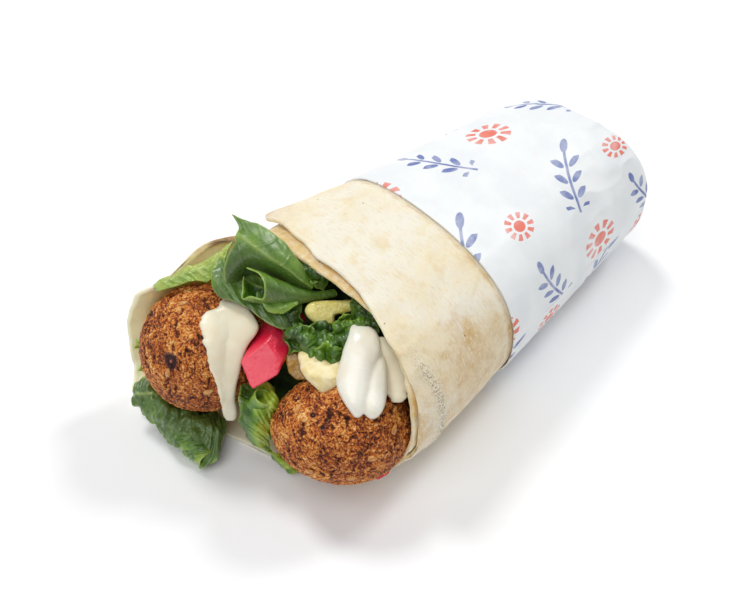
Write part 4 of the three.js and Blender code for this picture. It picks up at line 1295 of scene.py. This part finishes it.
LEAF_FRONT = [
    [(-37, 1, -24), (-40, 3, -23), (-42.6, 0.6, -22), (-45.2, -2.3, -21.5), (-46.4, -5.2, -21.5),
     (-45.6, -7.4, -22)],
    [(-34, -1.5, -24), (-36.6, -0.6, -20), (-39.4, -2, -17.5), (-42.2, -4.8, -17.5), (-43.6, -7.4, -19),
     (-43, -9, -21)],
    [(-31, -4.6, -23), (-33.2, -5.2, -17), (-36, -6.4, -15), (-38.6, -8.8, -15.6),
     (-40.4, -11.4, -17.6), (-40.6, -13, -20)],
    [(-27, -6.4, -22), (-29.4, -8, -15), (-31.6, -10.4, -13), (-34, -13, -13.8), (-36, -15, -15.6),
     (-36.8, -16.4, -18)],
    [(-23, -8, -22), (-25, -10.6, -14), (-27, -13.6, -12), (-29.4, -16, -12.6), (-31.6, -18, -14.4),
     (-32.4, -19.4, -16.4)],
    [(-19, -9.6, -21), (-20.6, -12.4, -13.4), (-22.4, -16, -11.6), (-25.4, -19, -12),
     (-28, -20.8, -13.6), (-29, -22, -15.4)],
    [(-16.4, -12, -19), (-17.4, -15, -14), (-18.8, -19.4, -12.4), (-21.4, -22.8, -12.2),
     (-24.6, -23.8, -13.2), (-26, -24.2, -14.2)],
    [(-15.4, -16, -17.6), (-16, -18.4, -15.4), (-17.2, -21.6, -14.2), (-19.4, -24.6, -13.8),
     (-22.2, -26.2, -14), (-23.6, -26.2, -14.6)],
]
LEAF_CURL = [
    [(-9.6, -0.6, -1), (-6.4, 0.4, -3), (-2.6, 0.6, -2), (0.8, -0.6, 2), (1.2, -3.6, 5)],
    [(-9.8, -4, 1), (-6.6, -3.8, 0), (-3, -3.8, 2), (0.4, -4.4, 5.5), (1.6, -6, 4)],
    [(-9.2, -7.6, 1), (-6.8, -7, 3.4), (-3.6, -7.2, 5), (-0.4, -7.8, 4), (1.2, -8.6, 1)],
    [(-9.2, -11.4, -1), (-7, -11.2, 3), (-4.2, -11.4, 4), (-1.2, -12, 1), (0, -12.6, -2)],
    [(-8, -15, -4), (-6.6, -15, 0), (-4.2, -15.4, 1.4), (-2, -16, -1), (-1, -16.8, -5)],
    [(-6, -18, -8), (-5, -18.2, -5), (-3.6, -18.6, -4), (-2.4, -19, -6), (-1.2, -19.8, -8)],
    [(-2.6, -20.8, -11), (-2, -21, -9.6), (-1, -21.4, -9), (0, -21.8, -10), (0.8, -22.4, -11)],
    [(2.4, -24.6, -13), (2.8, -24.8, -12.2), (3.4, -25, -12), (4, -25.3, -12.4), (4.4, -25.8, -13)],
    [(5, -27.2, -14.4), (5.6, -27.4, -13.8), (6.2, -27.6, -13.6), (6.8, -27.8, -13.8),
     (7.2, -28.2, -14.4)],
]
LEAF_SIDE = [
    [(24.6, 28.6, 6), (25.6, 28, 8.4), (27, 27.2, 9)],
    [(24.4, 24.6, 6.4), (27.2, 24.6, 9.4), (30.2, 23.6, 9.6)],
    [(23.6, 20, 6.6), (27.6, 20.4, 9.8), (31.8, 19.6, 9.8)],
    [(25.6, 17, 6.4), (29.4, 17, 9.2), (32.2, 15.6, 9.6)],
]
LEAF_TUCK = [
    [(8.4, 36.6, 2), (9, 33.6, 4.4), (9.6, 31, 5)],
    [(11.6, 37, 2), (12, 33.6, 4.6), (11.8, 30, 4.4)],
    [(14.8, 36.6, 1.4), (15, 32.6, 3.6), (13.6, 28.6, 3)],
    [(17, 34, -1), (16.8, 31, 1), (15.6, 28, 1)],
]
# [across, up, out, half its length, half its width]
LEAF_BITS = [(-43.4, 11.6, -19.6, 1.5, 1.1), (-41.4, 5.2, -18.4, 2.0, 1.3)]


def curl_net(start, end, radii, turns):
    """A net for a leaf rolled round a line, from one end to the other, open between its two turns."""
    start, end = np.array(start, float), np.array(end, float)
    side = unit(np.cross(end - start, [0, 0, 1]))
    rise = unit(np.cross(side, end - start))
    net = []
    for share in np.linspace(0, 1, 4):
        row = []
        for k, turn in enumerate(np.radians(np.linspace(*turns, 9))):
            radius = mix(*radii, share) * (1 - 0.04 * k)
            row.append(mix(start, end, share) + radius * (math.cos(turn) * side + math.sin(turn) * rise))
        net.append(row)
    return net


def leaf_bits():
    """Rolled leaf ends and scraps."""
    tip = curl_net((-29.5, -14, -17), (-20.8, -23.4, -13.8), (4.8, 3.2), (-60, 270))
    green("leaf_front", tip, [0.55, 0.5, 0.4, 0.3, 0.3], "_tip", veins=5, ruffle=0.5, crinkle=0.6,
          crinkle_size=3, streak=0.4, vein_tone=0.15, cells=(70, 80))
    curl = curl_net((-5.5, -7.5, 1), (-2, -3, 5), (2.6, 3.1), (-20, 320))
    green("leaf_curl", curl, 0.42, "_ring", veins=5, crinkle=0.2, cells=(60, 70))
    for k, (across, up, out, half_long, half_wide) in enumerate(LEAF_BITS):
        net = [[(across + i * half_wide + 0.3 * j, up + j * half_long, out + 0.6 * i * j - 0.3 * i)
                for j in (-1, 0, 1)] for i in (-1, 0, 1)]
        place(leaf(f"leaf_bit_{k + 1}", net, 0.6, rib=0.5, crinkle=0.3, cells=(24, 24)), "leaf")


def leaves():
    # The lists of tones paint shade and highlight across the folds as well as each leaf's own greens; on
    # leaf_fold a painted sheen runs along the ridge with painted shade below it.
    green("leaf_fold", LEAF_FOLD, [0.32, 0.44, 0.22, 0.0, 0.0, 0.14], rib=0.3, veins=8, ruffle=0.1,
          crinkle=0.07, quilt=0.06, vein_tone=0.1)
    green("leaf_roll", LEAF_ROLL, [0.44, 0.4, 0.24, 0.2, 0.28, 0.4, 0.3, 0.2, 0.1], veins=7, ruffle=0.12,
          crinkle=0.06, quilt=0.06, vein_tone=0.12)
    green("leaf_lobe", LEAF_LOBE, [0.2, 0.28, 0.28, 0.18, 0.1], veins=5, ruffle=0.4, crinkle=0.25,
          vein_tone=0.2)
    green("leaf_lobe", LEAF_FLAP, [0.25, 0.4, 0.5], "_flap", veins=5, vein_tone=0.2, cells=(60, 40))
    green("leaf_strip", LEAF_STRIP, [0.95, 0.84, 0.66], slot="pale_leaf", rib=0.45, veins=3, slope=1.2,
          ruffle=0.4, crinkle=0.3, quilt=0.1, streak=0.15)
    green("leaf_front", LEAF_FRONT, [0.0, 0.02, 0.1, 0.26, 0.22, 0.36], veins=7, slope=0.5, ruffle=0.7,
          crinkle=1.6, crinkle_size=3.6, quilt=0.1, streak=0.6, vein_tone=0.1,
          stem=((-43.6, -4.4), (-33.6, -2.8)))
    green("leaf_curl", LEAF_CURL, [0.12, 0.32, 0.66, 0.7, 0.4], veins=5, ruffle=0.9, crinkle=0.7,
          crinkle_size=3.4, streak=0.35, vein_tone=0.2)
    green("leaf_side", LEAF_SIDE, [0.26, 0.18, 0.12], ruffle=0.7, crinkle=1.5, crinkle_size=3.6,
          streak=0.3, vein_tone=0.1, edge_tone=0.3)
    green("leaf_tuck", LEAF_TUCK, 0.2, rib=0.5, veins=3, ruffle=0.5, crinkle=0.8, crinkle_size=4,
          quilt=0.1, vein_tone=0.15)


# A clump of curly leaf: crinkled scraps that overlap, each from a spot with its size, turn and lean.
FRILL = [
    ((9, 13.8, 8), (5.2, 4.6), 10, 0.4, 0.26), ((13.4, 11.8, 9), (5, 5.6), -20, -0.4, 0.32),
    ((17.6, 9, 11.5), (4.8, 3.6), -50, 0.3, 0.34), ((20.8, 13.8, 11), (5.8, 3.6), 65, -0.5, 0.3),
    ((14.6, 15.4, 7.5), (5.4, 3.8), 20, -0.3, 0.2), ((5.6, 18.8, 6), (4.4, 3.8), -32, 0.2, 0.2),
    ((22, 18.2, 9.4), (3.4, 2.6), 60, 0.3, 0.36),
]
SIDE_SCRAPS = [
    ((28.4, 24.6, 8), (4.6, 3), 75, 0.2, 0.14), ((29.6, 19.6, 9.2), (4, 3), 40, -0.3, 0.24),
    ((26.4, 17.6, 9.6), (3.4, 2.6), 10, 0.3, 0.3),
]
TUCK_SCRAPS = [((13.6, 33.2, 5), (3.6, 3.2), 30, 0.2, 0.2)]


def curly_scraps(node, scraps):
    for k, (spot, (half_long, half_wide), turn, lean, tone) in enumerate(scraps):
        net = []
        for i in range(5):
            row = []
            for j in range(5):
                x, y = (i / 2 - 1) * half_long, (j / 2 - 1) * half_wide
                shrink = 1 - 0.25 * abs(i / 2 - 1) * abs(j / 2 - 1)
                curl = 1.6 * math.sin(2.1 * i + 1.7 * j + 2.3 * k) + lean * y * 0.6 - 0.05 * (x * x + y * y)
                across, up = turned(x * shrink, y * shrink, -turn)
                row.append((spot[0] + across, spot[1] + up, spot[2] + curl))
            net.append(row)
        green(node, net, tone, f"_scrap_{k + 1}", ruffle=0.6, crinkle=1.2, crinkle_size=4.6, quilt=0.05,
              streak=0.35, vein_tone=0.08, edge_tone=0.3, cells=(64, 56))


# ---- the filling -----------------------------------------------------------------------------
FILL_SIDES = 160


def fill_depth(degrees):
    turned_by = (OUTER_END - degrees) % 360
    doubled = turned_by < SHEET_TURN - 360 + 12
    return np.where(doubled, LAYER_STEP, sheet_depth(turned_by)) + BREAD_THICK + 0.5


def fill_front(x, z):
    wave = 2 * np.sin(x * 0.31 + z * 0.2) + 1.5 * np.sin(z * 0.5 - x * 0.17)
    return FILL_FRONT + FILL_SLOPE * np.maximum(z - FILL_SLOPE_FROM, 0) + wave + 9 * smooth(x, 16, 30)


def salad_filling():
    degrees = 360 * np.arange(FILL_SIDES) / FILL_SIDES
    guess = roll_point(degrees, -50.0, fill_depth(degrees))
    edge_y = fill_front(guess[:, 0], guess[:, 2])
    rings = []
    for share in np.linspace(0.04, 1, 60):
        x, z = guess[:, 0] * share, mix(FILL_MIDDLE, guess[:, 2], share)
        crumple = waves(np.stack([x, 0 * x, z], -1) / 6, 31, 3) * 2.2 * smooth(share, 1, 0.85)
        rings.append(np.stack([x, fill_front(x, z) - crumple, z], -1))
    rear_y = FILL_REAR + PAPER_END_SLANT * np.cos(np.radians(degrees))
    for share in (0.02, 0.1, 0.3, 0.6, 1):
        y = mix(edge_y, rear_y, share)
        curl = lip(degrees, y)
        rings.append(roll_point(degrees, y, fill_depth(degrees) + curl + sway(degrees, y) + 0.3))
    points, faces = closed(np.array(rings))
    return place(new_object("salad_core", points, faces, SALAD), "salad", "salad_filling")


# ---- stage ------------------------------------------------------------------------------------
def camera():
    data = bpy.data.cameras.new("camera")
    data.lens = CAMERA_LENS
    data.sensor_width = 36
    data.clip_start, data.clip_end = 0.01, 20
    thing = bpy.data.objects.new("camera", data)
    bpy.context.scene.collection.objects.link(thing)
    spot = (np.array(CAMERA_TARGET) + MOUTH[2] * CAMERA_DISTANCE) * MM
    thing.matrix_world = Matrix.Translation(Vector(spot)) @ Matrix(MOUTH.T.tolist()).to_4x4()
    bpy.context.scene.camera = thing


def from_camera(right, up, height):
    """A direction as seen from the camera: over the floor to the right, up the picture, and high."""
    across = np.array([math.cos(math.radians(MOUTH_TURN)), math.sin(math.radians(MOUTH_TURN))])
    away = np.array([-across[1], across[0]])
    return Vector((*(across * right + away * up), height))


def soft_light(name, toward, spread, strength):
    """Even light from far away, its shadows softened by how wide it spreads."""
    data = bpy.data.lights.new(name, "SUN")
    data.angle = math.radians(spread)
    data.energy = strength
    thing = bpy.data.objects.new(name, data)
    bpy.context.scene.collection.objects.link(thing)
    thing.rotation_euler = toward.to_track_quat("Z", "Y").to_euler()


def lights():
    for name, toward, spread, strength in LIGHTS:
        soft_light(name, from_camera(*toward), spread, strength)
    world = bpy.data.worlds.new("studio")
    world.use_nodes = True
    background = world.node_tree.nodes["Background"]
    background.inputs["Color"].default_value = (1, 1, 1, 1)
    background.inputs["Strength"].default_value = SKY_LIGHT
    bpy.context.scene.world = world
    bpy.context.scene.view_settings.view_transform = "Standard"


def floor():
    ticks = np.linspace(-FLOOR_HALF, FLOOR_HALF, FLOOR_CELLS + 1)
    x, y = np.meshgrid(ticks, ticks)
    points = np.stack([x.ravel(), y.ravel(), np.full(x.size, FLOOR_HEIGHT)], -1)
    grid = np.arange(x.size).reshape(x.shape)
    faces = np.stack([grid[:-1, :-1], grid[:-1, 1:], grid[1:, 1:], grid[1:, :-1]], -1).reshape(-1, 4)
    new_object("floor", points, faces, floor_material())


# ---- putting it together --------------------------------------------------------------------
BREAD = bread_material()
FALAFEL = falafel_material()
LEAF = leaf_material()
SALAD = salad_material()
PAPER = paper_material()
SEED = seed_material()
SESAME_SAUCE = sauce_material("sesame_sauce", (248, 239, 214), (242, 230, 200), 0.4)
WHITE_SAUCE = sauce_material("white_sauce", (252, 248, 236), (244, 238, 220), 0.25)
TURNIP = turnip_material()
WEDGE = pickle_material("yellow_pickle", (236, 224, 138), (204, 186, 78), (248, 240, 186))
SLICE = pickle_material("olive_pickle", (190, 144, 36), (150, 108, 20), (206, 170, 66))
HUMMUS = hummus_material()

camera()
lights()
floor()
flatbread()
paper_wrap()
for side, ball, seed, wet in (("left", BALL_LEFT, 1, WET_LEFT), ("right", BALL_RIGHT, 4, WET_RIGHT)):
    place(falafel(f"falafel_{side}_crust", ball, seed, wet), "falafel_crust", f"falafel_{side}")
sesame_seeds()
sauce_left()
sauce_right()
pickles()
hummus()
leaves()
leaf_bits()
curly_scraps("leaf_frill", FRILL)
curly_scraps("leaf_side", SIDE_SCRAPS)
curly_scraps("leaf_tuck", TUCK_SCRAPS)
salad_filling()
